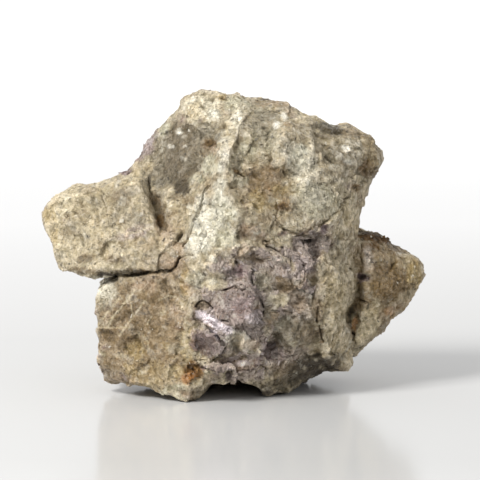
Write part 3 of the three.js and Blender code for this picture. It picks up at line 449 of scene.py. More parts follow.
# Pits and knobs: depth, or height where it is below zero, and oval place.
PITS = (
    (1, -1.6, 4.2, 1.6, 0.9, 20), (0.9, 6.5, 5.6, 2.4, 0.5, 5), (0.8, 3.5, 9.9, 2.2, 0.4, 12),
    (0.8, 18.5, 11.8, 1.6, 0.5, -20), (0.9, 8.8, 43, 1.6, 0.6, -10), (0.9, 1, 42.4, 1.4, 0.6, -30),
    (0.8, -3, 33, 1.6, 0.5, 20), (0.8, 3, 31.6, 1, 0.7), (-1, 12, 8, 2.4, 2, 30), (-0.9, 19, 17, 2.6, 3),
    (-0.7, 25, 18, 2.4, 3.4), (0.8, 28.2, 52.2, 1.4, 0.7, 20), (0.9, 22.5, 51.6, 3, 0.5, 5),
    (0.9, 2.2, 72.2, 1.5, 0.5, -25), (0.8, 0, 68, 0.6, 0.5), (0.8, 3, 63, 0.6, 1), (0.9, 17.5, 72.8, 0.7, 0.5),
    (0.7, 11, 79, 0.9, 0.5, 20), (0.8, 16, 58.5, 0.7, 0.5), (0.8, 40.5, 71, 0.5, 0.4),
    (0.9, 11, 49.5, 1.1, 0.5, -10), (0.7, 5.4, 80.6, 0.6, 1.2, -20), (0.6, 20.6, 75.8, 0.5, 0.9, 15),
    (1.6, -18.8, 51.2, 0.6, 1.5, -25), (0.7, -25, 58, 1.5, 3.6), (0.6, -26.6, 63.5, 1.8, 2),
    (0.9, -8.4, 83, 1.9, 1.5, -10), (1, 2.8, 34.9, 0.7, 0.7), (-0.6, 2.8, 34.9, 1.9, 1.8),
    (1, -3.4, 22.5, 1.9, 0.5, -14), (0.7, 11.2, 14.2, 0.7, 1.3, -15), (0.7, 14.4, 11.2, 2.4, 0.5, -30),
    (2, 30.7, 54.2, 1.6, 1.5), (-1.5, 28, 49.2, 3.4, 2.8), (-0.8, 26.5, 32.8, 1.5, 1.1),
    (0.9, 36.6, 45.7, 0.7, 0.4, -35), (0.9, 32.2, 42.4, 1, 0.45, -40), (0.7, 29.2, 42.2, 0.6, 1.3),
    (0.6, 32, 38.6, 1.4, 0.7, 50), (0.8, 40.3, 40.3, 0.5, 0.8), (0.7, 39.6, 42, 0.9, 0.35),
    (0.8, 33.5, 48.4, 0.9, 1.5, 30), (0.8, 29.1, 29.2, 0.5, 0.9), (1.6, 44.5, 37.5, 2.8, 1.3),
    (1.6, 40, 26.2, 1.4, 1.6, 30), (1, 41.3, 67.6, 1.2, 1.8, 25), (1, 45, 73.8, 1.8, 1.4),
    (0.8, 1.6, 51.8, 0.8, 1.6), (0.6, -3.3, 89, 1, 1.3), (0.6, 16.8, 61.2, 1.2, 1.2), (0.5, 8.5, 70.8, 2, 0.8),
    (0.6, 23.3, 81.5, 0.5, 1, 20), (1, -12, 27.6, 2.2, 1, 20), (0.8, -1.6, 3.6, 1.2, 1.4),
    (0.7, -43.5, 18, 2.4, 2), (-0.7, 6.5, 53.3, 2.6, 2), (-0.9, 3.6, 46.4, 3.6, 0.9, 38),
    (-0.5, -7.3, 44, 1.6, 1.3), (-0.5, -11.5, 42.4, 2.6, 1.2, 30), (-0.8, -7, 22.6, 4, 1, -32),
    (-1.2, 4.4, 58.5, 3.2, 7, -4), (-0.8, 1.4, 69, 2, 4), (-1, 8.6, 79.4, 2.4, 2.1), (-0.8, 8.4, 85, 1.6, 4.2),
    (-1, 22.2, 69.8, 2.8, 2.5), (-0.8, 26.2, 83.5, 1.3, 5.4, 12), (0.8, 12, 77.4, 1.2, 1.3),
    (0.6, 11.3, 85, 0.9, 4), (-0.7, 14.8, 83, 2, 3.4, -10), (-0.8, 17.6, 77.3, 2.4, 2.2), (-0.7, 13, 66, 3, 2.4),
    (-0.7, 5.2, 73.4, 2, 2.4), (-0.6, 32.6, 70.6, 2.2, 1.8, 30), (-0.7, 36.5, 73.5, 3, 2.2, -30),
    (-0.7, 43, 80.5, 3, 2.4, -30), (0.6, 40, 78.6, 2.8, 0.7, -35),
)
# How far out from the middle of an oval place its mark starts to fade, and where it is gone.
PATCH_RIM = (0.6, 1.2)
PIT_RIM = (0.3, 1.15)
PLATE_RIM = (0.8, 1.1)
# A mark can reach this many times its larger half size from the middle of its oval place.
PATCH_REACH = 1.7
PIT_REACH = 2

# The flakes' minerals: how often each one comes.
FLAKE_MINERALS = (
    ("pale", 5), ("mica", 4), ("plum", 3), ("violet", 1), ("grey", 1),
)
# Large plates that few flakes sit on, and how much flatter they are than the stone round them.
BARE_PLATES = (
    (0.5, 28.8, 9.2, 9.4), (-29.5, 82, 3.4, 6.4, -32), (-8, 22.4, 6.4, 2.8, -33), (-8.4, 15, 5, 5.6),
    (2.4, 15.4, 4, 4), (14, 42, 5, 4.6, -20), (17.8, 19, 4, 5), (25.2, 18, 2.8, 4.4), (28.6, 62.4, 6.6, 5.2, -15),
)
PLATE_SMOOTHNESS = 0.75

FLAKE_MODELS = 7
FLAKE_SEED = 12
GRAIN_MODELS = 9
GRAIN_SEED = 5
WHITE_CHIP = (0.72, 0.68, 0.58)

# Pushes: right, up and radius on the sheet, then how far the stone is pushed right and up there.
PUSHES = (
    (40, 4, 11, 3, -1), (-33, 80, 9, 1.5, -0.6), (-47, 72, 12, 0, -1.2), (31, 91, 8, 0, -1.3),
    (65, 38, 8, 1.2, 0), (46, 62, 8, -0.8, 0), (-50, 38, 7, -0.8, 0),
)
# The arch under the front edge: across it, how far it is lifted.
ARCH_ACROSS = (
    (-36, 0), (-28, 1.8), (-23, 2.2), (-19, 1.2), (-16, 0), (-12, 0.3), (-9.2, 1.2), (-6, 2.1), (-3.7, 2.3),
    (-1.2, 3.4), (1, 1), (2.9, 0.6), (4.9, 0.1), (7, 0.4), (9.4, 1), (11.5, 0), (13.5, 0.8), (15.5, 0.8),
    (17, 0.5), (20, 1.4), (23, 2.2), (27, 2.8), (31, 3), (34, 1.5), (38, 0),
)
ARCH_FRONT = -10.0
ARCH_BACK = -2.0
ARCH_TOP = 16.0

# The copy of the solid is smoothed this many times before it is carved, and carved from a little below its skin.
SMOOTH_ROUNDS = 28
CARVED_BELOW = 0.2
CREASE_ANGLE = 32
MERGE_DISTANCE = 0.001 * MM
# Hollows and ridges are found by smoothing the stone a little, and a lot: rounds of smoothing, the height that counts
# as full, and how much painted shade darkens a hollow and how much painted light lights a ridge.
TIGHT_ROUNDS = 4
WIDE_ROUNDS = 30
TIGHT_HOLLOW = (0.25, 0.35)
WIDE_HOLLOW = (0.9, 0.42)
TIGHT_RIDGE = (0.22, 0.16)
WIDE_RIDGE = (0.8, 0.1)
# How much more painted shade and light the mica gets, and how dark the painted shade in the cracks is.
MICA_CONTRAST = 0.2
CRACK_SHADE = 0.85
# Triangles are taken away everywhere but at the cracks, fewest on the front: this share there, 1 at the back.
THINNED_IN_FRONT = 0.15
THINNING_LEVELS = 10
FACET_TILT = 1.2
FACET_LIFT = 0.7
# How light the stone is between its lighter and darker grains.
MEAN_LIGHT = 1.28


# --- Settings -------------------------------------------------------------------------------------------------


def number(name, description, default, **more):
    return FloatProperty(name=name, description=description, default=default, **more)


def length(name, description, default, **more):
    """A length, with its default in millimetres."""
    return number(name, description, default * MM, unit="LENGTH", precision=5, **more)


def factor(name, description, default, **more):
    return number(name, description, default, subtype="FACTOR", **more)


def whole(name, description, default, least=0):
    return IntProperty(name=name, description=description, default=default, min=least)


def paint(name, description, default):
    return FloatVectorProperty(
        name=name, description=description, default=default, subtype="COLOR_GAMMA", size=3, min=0.0, max=1.0
    )


class MineralColours(bpy.types.PropertyGroup):
    """The colour of each mineral in the stone."""

    __annotations__ = {
        key: paint(label, f"Colour of the {label.lower()}", [channel / 255 for channel in shown])
        for key, (label, shown, *_) in MINERALS.items()
    }


class StoneSettings(bpy.types.PropertyGroup):
    """Sizes of the stone's relief."""

    voxel: length("Grain of the mesh", "Size of the smallest form in the stone's surface", 0.5, min=0.3 * MM)
    triangles: whole("Triangles", "The most triangles in the finished stone", 194000, 10000)
    plane_relief: length(
        "Broad relief", "Height of the broken faces about 16 mm across, at the sides and the back", 2.2
    )
    coarse_relief: length("Coarse relief", "Height of the lumps and broken faces about 7 mm across", 1.1)
    middle_relief: length("Middle relief", "Height of the broken faces about 3 mm across", 0.7)
    fine_relief: length("Fine relief", "Height of the grains about 1.3 mm across", 0.32)
    tread_relief: length("Tread relief", "Height of the flat treads that cleavage leaves", 0.8)
    leaf_relief: length("Leaf relief", "Height of the overlapping leaves of mica", 1.2)
    cavity_shade: factor("Painted shade in hollows", "How much darker the stone is in its hollows", 0.75, min=0.0, max=1.0)


class FlakeSettings(bpy.types.PropertyGroup):
    """The loose-looking plates of mica."""

    count: whole("Flakes", "How many flakes are set into the lepidolite", 3400)
    radius: length("Radius", "The usual radius of a flake", 0.66)
    thickness: factor("Thickness", "Thickness of a flake, as a share of its radius", 0.16)
    lean: number("Lean", "How far the flakes lean from the surface", 0.3)


class GrainSettings(bpy.types.PropertyGroup):
    """The small broken crystals."""

    count: whole("Grains", "How many chips are set into the stone", 20000)
    radius: length("Radius", "The usual radius of a chip", 0.36)
    proud: length("Stand out", "How far the chips stand out of the stone", 0.1)
    lean: number("Lean", "How far the chips lean from the surface", 0.22)
    light: number("Lightness", "How light the chips are next to the stone round them", 1.08)
    white: factor("White chips", "The share of white chips", 0.02)
    dark: factor("Dark chips", "The share of dark chips", 0.025)


class StudioSettings(bpy.types.PropertyGroup):
    """The camera, the floor and the lights."""

    distance: number(
        "Camera distance", "From the camera to the middle of the specimen", VIEW_DISTANCE, unit="LENGTH"
    )
    field: number("Field of view", "Width of what the camera sees at the specimen", 0.1632, unit="LENGTH")
    elevation: number(
        "Camera elevation", "How far the camera looks down", math.radians(VIEW_ELEVATION), subtype="ANGLE"
    )
    floor_colour: paint("Floor", "Colour of the floor", (0.762, 0.762, 0.76))
    key: number("Key light", "Power of the soft light from the upper left", 11.0, unit="POWER")
    fill: number("Fill light", "Strength of the light from all round", 0.56)


# --- Helpers --------------------------------------------------------------------------------------------------


def select_only(piece):
    """Make a piece the only selected object, and the active one."""
    if bpy.context.object and bpy.context.object.mode != "OBJECT":
        bpy.ops.object.mode_set(mode="OBJECT")
    for other in bpy.context.view_layer.objects:
        other.select_set(False)
    piece.select_set(True)
    bpy.context.view_layer.objects.active = piece


def apply_modifier(piece, kind, **settings):
    """Add a modifier with its settings, and apply it."""
    select_only(piece)
    modifier = piece.modifiers.new(kind.lower(), kind)
    for key, value in settings.items():
        setattr(modifier, key, value)
    bpy.ops.object.modifier_apply(modifier=modifier.name)


def remove(piece):
    mesh = piece.data
    bpy.data.objects.remove(piece)
    bpy.data.meshes.remove(mesh)


def values_of(items, key, kind=np.float32, width=1):
    """One value, or one row of values, for each item of a mesh."""
    flat = np.empty(len(items) * width, kind)
    items.foreach_get(key, flat)
    return flat if width == 1 else flat.reshape(-1, width).astype(np.float64)


def places(mesh):
    """The places of a mesh's vertices, in millimetres."""
    return values_of(mesh.vertices, "co", width=3) / MM


def set_places(mesh, points):
    mesh.vertices.foreach_set("co", (points * MM).astype(np.float32).ravel())
    mesh.update()


def normals_of(mesh):
    return values_of(mesh.vertex_normals, "vector", width=3)


def vertex_areas(mesh):
    """The area round each vertex of a mesh of triangles and quads."""
    sizes = values_of(mesh.polygons, "loop_total", np.int32)
    corners = values_of(mesh.loops, "vertex_index", np.int32)
    return np.bincount(corners, np.repeat(values_of(mesh.polygons, "area") / sizes, sizes), len(mesh.vertices))


def store(mesh, name, values):
    """Keep one number, or one colour, for each vertex."""
    if values.ndim == 1:
        layer = mesh.attributes.new(name, "FLOAT", "POINT")
        layer.data.foreach_set("value", values.astype(np.float32))
    else:
        layer = mesh.attributes.new(name, "FLOAT_COLOR", "POINT")
        rgba = np.concatenate((values, np.ones((len(values), 1))), axis=1)
        layer.data.foreach_set("color", rgba.astype(np.float32).ravel())


def stored(mesh, name):
    """One number for each vertex that was kept before."""
    return values_of(mesh.attributes[name].data, "value").astype(np.float64)


def linear(shown):
    """A display colour as light."""
    c = np.asarray(shown, float)
    return np.where(c <= 0.04045, c / 12.92, ((c + 0.055) / 1.055) ** 2.4)


def smooth_step(low, high, values):
    t = np.clip((values - low) / (high - low), 0.0, 1.0)
    return t * t * (3 - 2 * t)


def fade(low, high, values):
    return 1 - smooth_step(low, high, values)


def hashed(cells, salt):
    """Six numbers from 0 to 1 for each whole-number cell."""
    x, y, z = (cells + 4096).astype(np.uint64).T
    h = x * np.uint64(0x9E3779B1) ^ y * np.uint64(0x85EBCA77) ^ z * np.uint64(0xC2B2AE3D)
    h ^= np.uint64(salt * 0x27D4EB2F)
    for multiplier, shift in ((0xFF51AFD7ED558CCD, 33), (0xC4CEB9FE1A85EC53, 29)):
        h ^= h >> np.uint64(shift)
        h *= np.uint64(multiplier)
    h ^= h >> np.uint64(32)
    return [((h >> np.uint64(10 * k)) & np.uint64(1023)).astype(np.float64) / 1023 for k in range(6)]


def wave(points, pitch, salt):
    """Smooth noise from -1 to 1."""
    p = points / pitch
    base = np.floor(p)
    t = p - base
    t = t * t * (3 - 2 * t)
    total = np.zeros(len(points))
    for step in itertools.product((0, 1), repeat=3):
        near = np.prod(np.where(step, t, 1 - t), axis=1)
        total += near * hashed(base + step, salt)[0]
    return total * 2 - 1


def waves(points, pitch, salt, octaves=3):
    """Noise with finer and finer detail, about -1 to 1."""
    return sum(wave(points, pitch / 2**k, salt + k) * 0.5**k for k in range(octaves)) / 1.5


def drift(points, pitch, salt, noise=waves):
    """Noise in three directions."""
    return np.stack([noise(points, pitch, salt + k) for k in range(3)], axis=1)


def cells_round(points, pitch, salt):
    """For each cell round the points, the way to them from its middle, and its six random numbers."""
    p = points / pitch
    base = np.floor(p)
    for step in itertools.product((-1, 0, 1), repeat=3):
        cell = base + step
        random = hashed(cell, salt)
        yield p - cell - np.stack(random[:3], axis=1), random


def facets(points, pitch, salt, crispness):
    """The height, about -1 to 1, of flat tilted faces that break up space in cells."""
    total = np.zeros(len(points))
    weight = np.zeros(len(points))
    for away, (_, _, middle, *slopes) in cells_round(points, pitch, salt):
        near = np.exp(-crispness * (away**2).sum(1))
        slant = sum(away[:, k] * (slope - 0.5) for k, slope in enumerate(slopes))
        rise = (slopes[0] + slopes[1] * 3 + middle * 5) % 1 - 0.5
        total += near * (slant * 2 * FACET_TILT + rise * 2 * FACET_LIFT)
        weight += near
    return total / weight


def cells_of(points, pitch, salt):
    """A random number from 0 to 1 for the irregular cell that each point is in."""
    nearest = np.full(len(points), 99.0)
    chosen = np.zeros(len(points))
    for away, random in cells_round(points, pitch, salt):
        far = (away**2).sum(1)
        closer = far < nearest
        nearest = np.where(closer, far, nearest)
        chosen = np.where(closer, random[3], chosen)
    return chosen


def shingles(points, pitch, salt):
    """Overlapping scales, 0 to 1: each one rises slowly and ends in a sharp, curved drop."""
    rising = 1.6 * waves(points, 2.6 * pitch, salt, 2) + points @ np.array((0.55, 0.4, -0.75)) / (2.2 * pitch)
    return rising % 1.0


def terraces(points, pitch, salt, levels):
    """Flat treads with steep risers between them, about -1 to 1, as cleavage leaves them."""
    height = (waves(points, pitch, salt) + 1) * levels / 2
    tread = np.floor(height)
    return (tread + smooth_step(0.6, 1.0, height - tread)) * 2 / levels - 1


# --- Places on the sheet --------------------------------------------------------------------------------------


def on_sheet(points):
    """Where points, in millimetres, are seen on the sheet that faces the viewer."""
    slope = math.radians(VIEW_ELEVATION)
    away = points - np.array(VIEW_TARGET) / MM
    nearer = -away[:, 1] * math.cos(slope) + away[:, 2] * math.sin(slope)
    upward = away[:, 1] * math.sin(slope) + away[:, 2] * math.cos(slope)
    scale = VIEW_DISTANCE / MM / (VIEW_DISTANCE / MM - nearer)
    return away[:, 0] * scale + SHEET_MIDDLE[0], upward * scale + SHEET_MIDDLE[1]


def on_ragged_sheet(points, reach, pitch, salt):
    """The same, pushed about by noise, so that marks get ragged edges."""
    x, h = on_sheet(points)
    return x + reach * waves(points, pitch, salt), h + reach * waves(points, pitch, salt + 1)


def front_share(points):
    """1 on the front of the stone, 0 at its back."""
    return fade(*FRONT_DEPTHS, points[:, 1] + 3 * wave(points, 6.0, 71))


def oval(x, h, right, up, half_width, half_height, turn=0):
    """0 in the middle of a turned oval, 1 on its rim."""
    a = math.radians(turn)
    dx, dh = x - right, h - up
    return np.hypot(
        (dx * math.cos(a) + dh * math.sin(a)) / half_width,
        (dh * math.cos(a) - dx * math.sin(a)) / half_height,
    )


def near_oval(x, h, place, stretch):
    """Which points are near an oval, and how far out from its middle they are."""
    right, up, half_width, half_height = place[:4]
    reach = stretch * max(half_width, half_height)
    at = np.flatnonzero((np.abs(x - right) < reach) & (np.abs(h - up) < reach))
    return at, oval(x[at], h[at], *place)


def near_line(x, h, line, reach):
    """Which points are near a broken line, how far off, on which side (above 0 on its left), how far past it."""
    xs, hs = zip(*line)
    at = np.flatnonzero(
        (x > min(xs) - reach) & (x < max(xs) + reach) & (h > min(hs) - reach) & (h < max(hs) + reach)
    )
    x, h = x[at], h[at]
    best = np.full(len(x), 1e9)
    side = np.zeros(len(x))
    past = np.zeros(len(x))
    for index, ((ax, ah), (bx, bh)) in enumerate(zip(line, line[1:])):
        dx, dh = bx - ax, bh - ah
        free = ((x - ax) * dx + (h - ah) * dh) / (dx * dx + dh * dh)
        t = np.clip(free, 0, 1)
        far = np.hypot(x - ax - t * dx, h - ah - t * dh)
        beyond = np.maximum(t - free, 0) * (index == 0) + np.maximum(free - t, 0) * (index == len(line) - 2)
        closer = far < best
        best = np.where(closer, far, best)
        side = np.where(closer, np.sign(dx * (h - ah) - dh * (x - ax)), side)
        past = np.where(closer, beyond * math.hypot(dx, dh), past)
    return at, best, side, past


# --- The stone's minerals and relief --------------------------------------------------------------------------


def finish_of(name):
    """A mineral's colour as light, then its relief, speckle, gloss and mica."""
    shown = getattr(bpy.context.scene.specimen_colours, name)
    return np.concatenate((linear(shown), MINERALS[name][2:]))


def pick(random, table):
    """The finishes that random numbers from 0 to 1 fall on."""
    weights = np.array([weight for _, weight in table], float)
    upto = np.cumsum(weights) / weights.sum()
    finishes = np.array([finish_of(name) for name, _ in table])
    return finishes[np.minimum(np.searchsorted(upto, random), len(table) - 1)]


def minerals(points):
    """The finish at each point: colour as light, relief, speckle, gloss and mica."""
    loose = points + 2.2 * drift(points, 7.0, 11)
    finish = pick(cells_of(loose, COARSE_PITCH, 21), COARSE_CRYSTALS)
    small = cells_of(loose, SMALL_PITCH, 22)
    odd = (small < SMALL_SHARE)[:, None] * SMALL_STRENGTH
    finish = finish * (1 - odd) + pick(small / SMALL_SHARE, SMALL_CRYSTALS) * odd

    front = front_share(points)
    x, h = on_sheet(points)
    for table, *place in BANDS:
        share = fade(*PLATE_RIM, oval(x, h, *place) + 0.35 * waves(points, 14.0, 25))
        crystals = pick(cells_of(loose, BAND_PITCH, 24), table)
        finish += (crystals - finish) * (BAND_STRENGTH * share * (1 - front))[:, None]

    def lay(at, name, share):
        finish[at] += (finish_of(name) - finish[at]) * (share * front[at])[:, None]

    x, h = on_ragged_sheet(points, 0.8, 3.0, 31)
    x = x + 0.25 * wave(points, 0.9, 34)
    h = h + 0.25 * wave(points, 0.9, 35)
    ragged = 0.55 * waves(points, 2.8, 33, 4)
    for name, strength, *place in PATCHES:
        at, far = near_oval(x, h, place, PATCH_REACH)
        lay(at, name, fade(*PATCH_RIM, far + ragged[at]) * strength)
    x, h = on_ragged_sheet(points, 0.35, 1.6, 41)
    for name, half_width, strength, line in PAINTED_SHEEN_VEINS + FINE_VEINS:
        at, far, *_ = near_line(x, h, line, 3 * half_width)
        lay(at, name, fade(0.4 * half_width, 1.5 * half_width, far) * strength)
    return finish


def seams(points):
    """1 in the long cracks that wander over the sides and the back, 0 away from them."""
    far = np.abs(waves(points, SEAM_PITCH, 97, 2)) * SEAM_PITCH / 2
    gape = smooth_step(-0.1, 0.3, wave(points, 18.0, 98))
    return np.exp(-((far / SEAM_WIDTH) ** 2)) * gape * (1 - front_share(points))


def crack_depths(points):
    """How far each point is sunk by the cracks, in millimetres, and how dark the painted shade in them is."""
    x, h = on_ragged_sheet(points, 0.3, 1.5, 51)
    sunk = np.zeros(len(points))
    dark = np.zeros(len(points))
    gape = front_share(points) * (0.7 + 0.3 * smooth_step(-0.5, 0.3, wave(points, 2.5, 53)))
    for half_width, depth, line in CRACKS:
        at, far, *_ = near_line(x, h, line, 4)
        near = np.exp(-((far / (CRACK_WIDTH_SHARE * half_width)) ** 2)) * gape[at]
        sunk[at] = np.maximum(sunk[at], CRACK_DEPTH_SHARE * depth * near)
        dark[at] = np.maximum(dark[at], near**0.6 * min(CRACK_PAINTED_SHADE, 0.1 + depth / 3.5))
    behind = seams(points)
    return np.maximum(sunk, SEAM_DEPTH * behind), np.maximum(dark, SEAM_PAINTED_SHADE * behind)


def near_cracks(points):
    """Which points are within a millimetre or so of a crack or a fine vein."""
    x, h = on_sheet(points)
    near = np.zeros(len(points), bool)
    lines = [(half_width, line) for half_width, _, line in CRACKS]
    lines += [(half_width, line) for _, half_width, _, line in FINE_VEINS]
    for half_width, line in lines:
        at, far, *_ = near_line(x, h, line, 2)
        near[at] |= far < 2.5 * half_width + 0.4
    return near & (points[:, 1] < FRONT_DEPTHS[1]) | (seams(points) > SEAM_TRACE)


def step_heights(points):
    """How far each point is raised by the steps and sunk by the pits, in millimetres."""
    front = front_share(points)
    x, h = on_ragged_sheet(points, 0.3, 2.0, 61)
    raised = np.zeros(len(points))
    for rise, reach, line in STEPS:
        at, far, side, past = near_line(x, h, line, reach)
        rising = rise * np.clip(1 - far / reach, 0, 1) ** 1.5 * smooth_step(-0.1, 0.35, far * side)
        raised[at] += rising * fade(0.0, 2.5, past) * front[at]
    for depth, *place in PITS:
        at, far = near_oval(x, h, place, PIT_REACH)
        raised[at] -= depth * fade(*PIT_RIM, far) * front[at]
    return raised


def pushed(points):
    """Points moved by the pushes, and lifted over the arch under the front edge."""
    x, h = on_sheet(points)
    moved = points.copy()
    for right, up, radius, across, upward in PUSHES:
        share = fade(0.0, radius, np.hypot(x - right, h - up))
        moved[:, 0] += across * share
        moved[:, 2] += upward * share
    xs, lifts = zip(*ARCH_ACROSS)
    lift = np.interp(points[:, 0] + 1.2 * wave(points, 5.0, 64), xs, lifts)
    moved[:, 2] += lift * fade(ARCH_FRONT, ARCH_BACK, points[:, 1]) * fade(0.0, ARCH_TOP, points[:, 2])
    return moved


def plate_share(points):
    """1 inside the large smooth plates of mica, 0 outside them."""
    x, h = on_sheet(points)
    inside = [fade(*PLATE_RIM, oval(x, h, *place)) for place in BARE_PLATES]
    return np.max(inside, axis=0) * front_share(points)


def relief(points, roughness, mica, settings):
    """How far the broken surface stands out at each point, in millimetres."""
    bent = points + 0.9 * drift(points, 4.0, 87)
    front = front_share(points)
    grainy = smooth_step(0.45, 0.85, roughness) * (1 - mica)
    coarse = 0.6 * facets(bent, 7.5, 81, 40.0) + 0.5 * waves(points, 9.0, 82)
    treads = 0.6 * terraces(bent, 7.0, 90, 9) + 0.4 * terraces(points, 3.0, 93, 5)
    leaves = 0.6 * shingles(points, 5.0, 85) + 0.4 * shingles(bent[:, ::-1], 2.2, 86) - 0.5
    layers = (
        (settings.coarse_relief, coarse, 0.5 + 0.5 * roughness),
        (settings.plane_relief, facets(bent, 16.0, 95, 50.0), (1 - front) ** 2),
        (settings.middle_relief, facets(bent, 3.1, 83, 60.0), 0.25 + 0.75 * grainy),
        (settings.fine_relief, facets(points, 1.35, 84, 40.0), 0.3 + 0.7 * grainy),
        (settings.tread_relief, treads, 1 - 0.6 * grainy),
        (settings.leaf_relief, leaves, mica, 0.45 + 0.55 * front),
    )
    height = sum(math.prod(factors, start=reach / MM) for reach, *factors in layers)
    return height * (1 - PLATE_SMOOTHNESS * plate_share(points))


# --- Small models spread over the stone -----------------------------------------------------------------------


def model_of(piece):
    """The points and faces of a small model, which is then removed."""
    points = np.array([vertex.co[:] for vertex in piece.data.vertices])
    faces = [list(face.vertices) for face in piece.data.polygons]
    remove(piece)
    return points, faces


def axes_of(out, other):
    """For each row, three directions at right angles: the last one outward, and the first one square to the other."""
    out = out / np.linalg.norm(out, axis=1)[:, None]
    aside = np.cross(out, other)
    aside /= np.linalg.norm(aside, axis=1)[:, None]
    return np.stack((aside, np.cross(out, aside), out), axis=1)


def spread_places(random, mesh, crowd, number):
    """Vertices picked at random, more of them where they crowd, with few on the cracks."""
    weight = vertex_areas(mesh) * crowd * np.where(near_cracks(places(mesh)), 0.1, 1.0)
    return random.choice(len(weight), number, replace=False, p=weight / weight.sum())


def scattered(name, models, base, axes, sizes, tints):
    """A piece made of copies of small models, each with its own place, axes, size and tint."""
    all_points, all_faces, all_tints = [], [], []
    start = 0
    for number, (shape, faces) in enumerate(models):
        at = np.arange(number, len(base), len(models))
        copies = base[at, None] + sizes[at, None, None] * np.einsum("kc,ncd->nkd", shape, axes[at])
        copies[:, :, 2] = np.maximum(copies[:, :, 2], 0.0)
        all_points.append(copies.reshape(-1, 3))
        all_tints.append(np.repeat(tints[at], len(shape), axis=0))
        for _ in at:
            all_faces.extend([corner + start for corner in face] for face in faces)
            start += len(shape)
    mesh = bpy.data.meshes.new(name)
    mesh.from_pydata((np.concatenate(all_points) * MM).tolist(), [], all_faces)
    store(mesh, "tint", np.concatenate(all_tints))
    piece = bpy.data.objects.new(name, mesh)
    bpy.context.scene.collection.objects.link(piece)
    return piece


def hollowness(stone, rounds):
    """How far each vertex is below its smoothed surroundings, in millimetres."""
    select_only(stone)
    bpy.ops.object.duplicate()
    soft = bpy.context.object
    apply_modifier(soft, "SMOOTH", factor=0.6, iterations=rounds)
    deeper = ((places(soft.data) - places(stone.data)) * normals_of(soft.data)).sum(1)
    remove(soft)
    return deeper


# --- Materials ------------------------------------------------------------------------------------------------


class Nodes:
    """The node tree of a new material or world. Sizes are in metres."""

    def __init__(self, owner):
        owner.use_nodes = True
        self.owner = owner
        self.tree = owner.node_tree
        self.shader = self.tree.nodes.get("Principled BSDF") or self.tree.nodes["Background"]

    def put(self, value, socket):
        """Link a socket, or set its value."""
        if isinstance(value, bpy.types.NodeSocket):
            self.tree.links.new(value, socket)
        else:
            socket.default_value = value

    def shade(self, **inputs):
        """Put values or links in the shader's inputs, with _ for each space in their names."""
        for key, value in inputs.items():
            self.put(value, self.shader.inputs[key.replace("_", " ")])

    def add(self, kind, inputs=(), output=0, **settings):
        """An output of a new node, which has its settings, and values or links in its inputs."""
        node = self.tree.nodes.new(kind)
        for key, value in settings.items():
            setattr(node, key, value)
        for key, value in inputs.items() if isinstance(inputs, dict) else enumerate(inputs):
            self.put(value, node.inputs[key])
        return node.outputs[output]

    def math(self, operation, *values, clamp=False):
        return self.add("ShaderNodeMath", values, operation=operation, use_clamp=clamp)

    def vector(self, operation, *values):
        return self.add("ShaderNodeVectorMath", values, operation=operation)

    def total(self, *values):
        return functools.reduce(lambda a, b: self.math("ADD", a, b), values)

    def product(self, *values):
        return functools.reduce(lambda a, b: self.math("MULTIPLY", a, b), values)

    def ramp(self, value, low, high, start=0.0, end=1.0):
        return self.add("ShaderNodeMapRange", (value, low, high, start, end))

    def swing(self, value, reach, low=0.0, high=1.0):
        """From minus the reach to plus the reach, as the value goes from low to high."""
        return self.ramp(value, low, high, -reach, reach)

    def mix(self, factor, a, b, blend="MIX"):
        return self.add("ShaderNodeMix", {0: factor, 6: a, 7: b}, 2, data_type="RGBA", blend_type=blend)

    def where(self):
        return self.add("ShaderNodeTexCoord", output="Object")

    def channels(self, colour):
        return self.add("ShaderNodeSeparateColor", (colour,)).node.outputs

    def darkened(self, colour, light):
        """A colour times a number."""
        return self.mix(1.0, colour, self.add("ShaderNodeCombineXYZ", (light,) * 3), "MULTIPLY")

    def stored(self, name, output="Fac"):
        return self.add("ShaderNodeAttribute", output=output, attribute_name=name)

    def noise(self, size, detail=3.0, roughness=0.55, place=None, output="Fac"):
        inputs = {"Scale": 1 / size, "Detail": detail, "Roughness": roughness, "Vector": place or self.where()}
        return self.add("ShaderNodeTexNoise", inputs, output)

    def grains(self, size, place=None):
        """Irregular grains, each with its own random colour."""
        return self.add("ShaderNodeTexVoronoi", {"Scale": 1 / size, "Vector": place or self.where()}, "Color")

    def grain_edges(self, size, place):
        """How far it is to the edge of a grain."""
        inputs = {"Scale": 1 / size, "Vector": place}
        return self.add("ShaderNodeTexVoronoi", inputs, feature="DISTANCE_TO_EDGE")

    def warped(self, size, reach):
        """Object coordinates pushed about by noise, for irregular grains."""
        noise = self.noise(size, 3.0, 0.5, output="Color")
        return self.vector("MULTIPLY_ADD", noise, (reach,) * 3, self.where())

    def streaks(self, size, place, turn, drawn):
        """Noise turned and drawn out."""
        inputs = {"Vector": place, "Rotation": turn, "Scale": (1.0, 1.0, drawn)}
        return self.noise(size, 4.0, 0.6, self.add("ShaderNodeMapping", inputs))

    def bump(self, height, distance, strength=1.0):
        return self.add("ShaderNodeBump", {"Strength": strength, "Distance": distance, "Height": height})

    def tilted(self, normal, random, amount):
        """A normal leant over by a random colour."""
        centred = self.vector("SUBTRACT", random, (0.5, 0.5, 0.5))
        scaled = self.add("ShaderNodeVectorMath", {0: centred, "Scale": amount}, operation="SCALE")
        return self.vector("NORMALIZE", self.vector("ADD", normal, scaled))


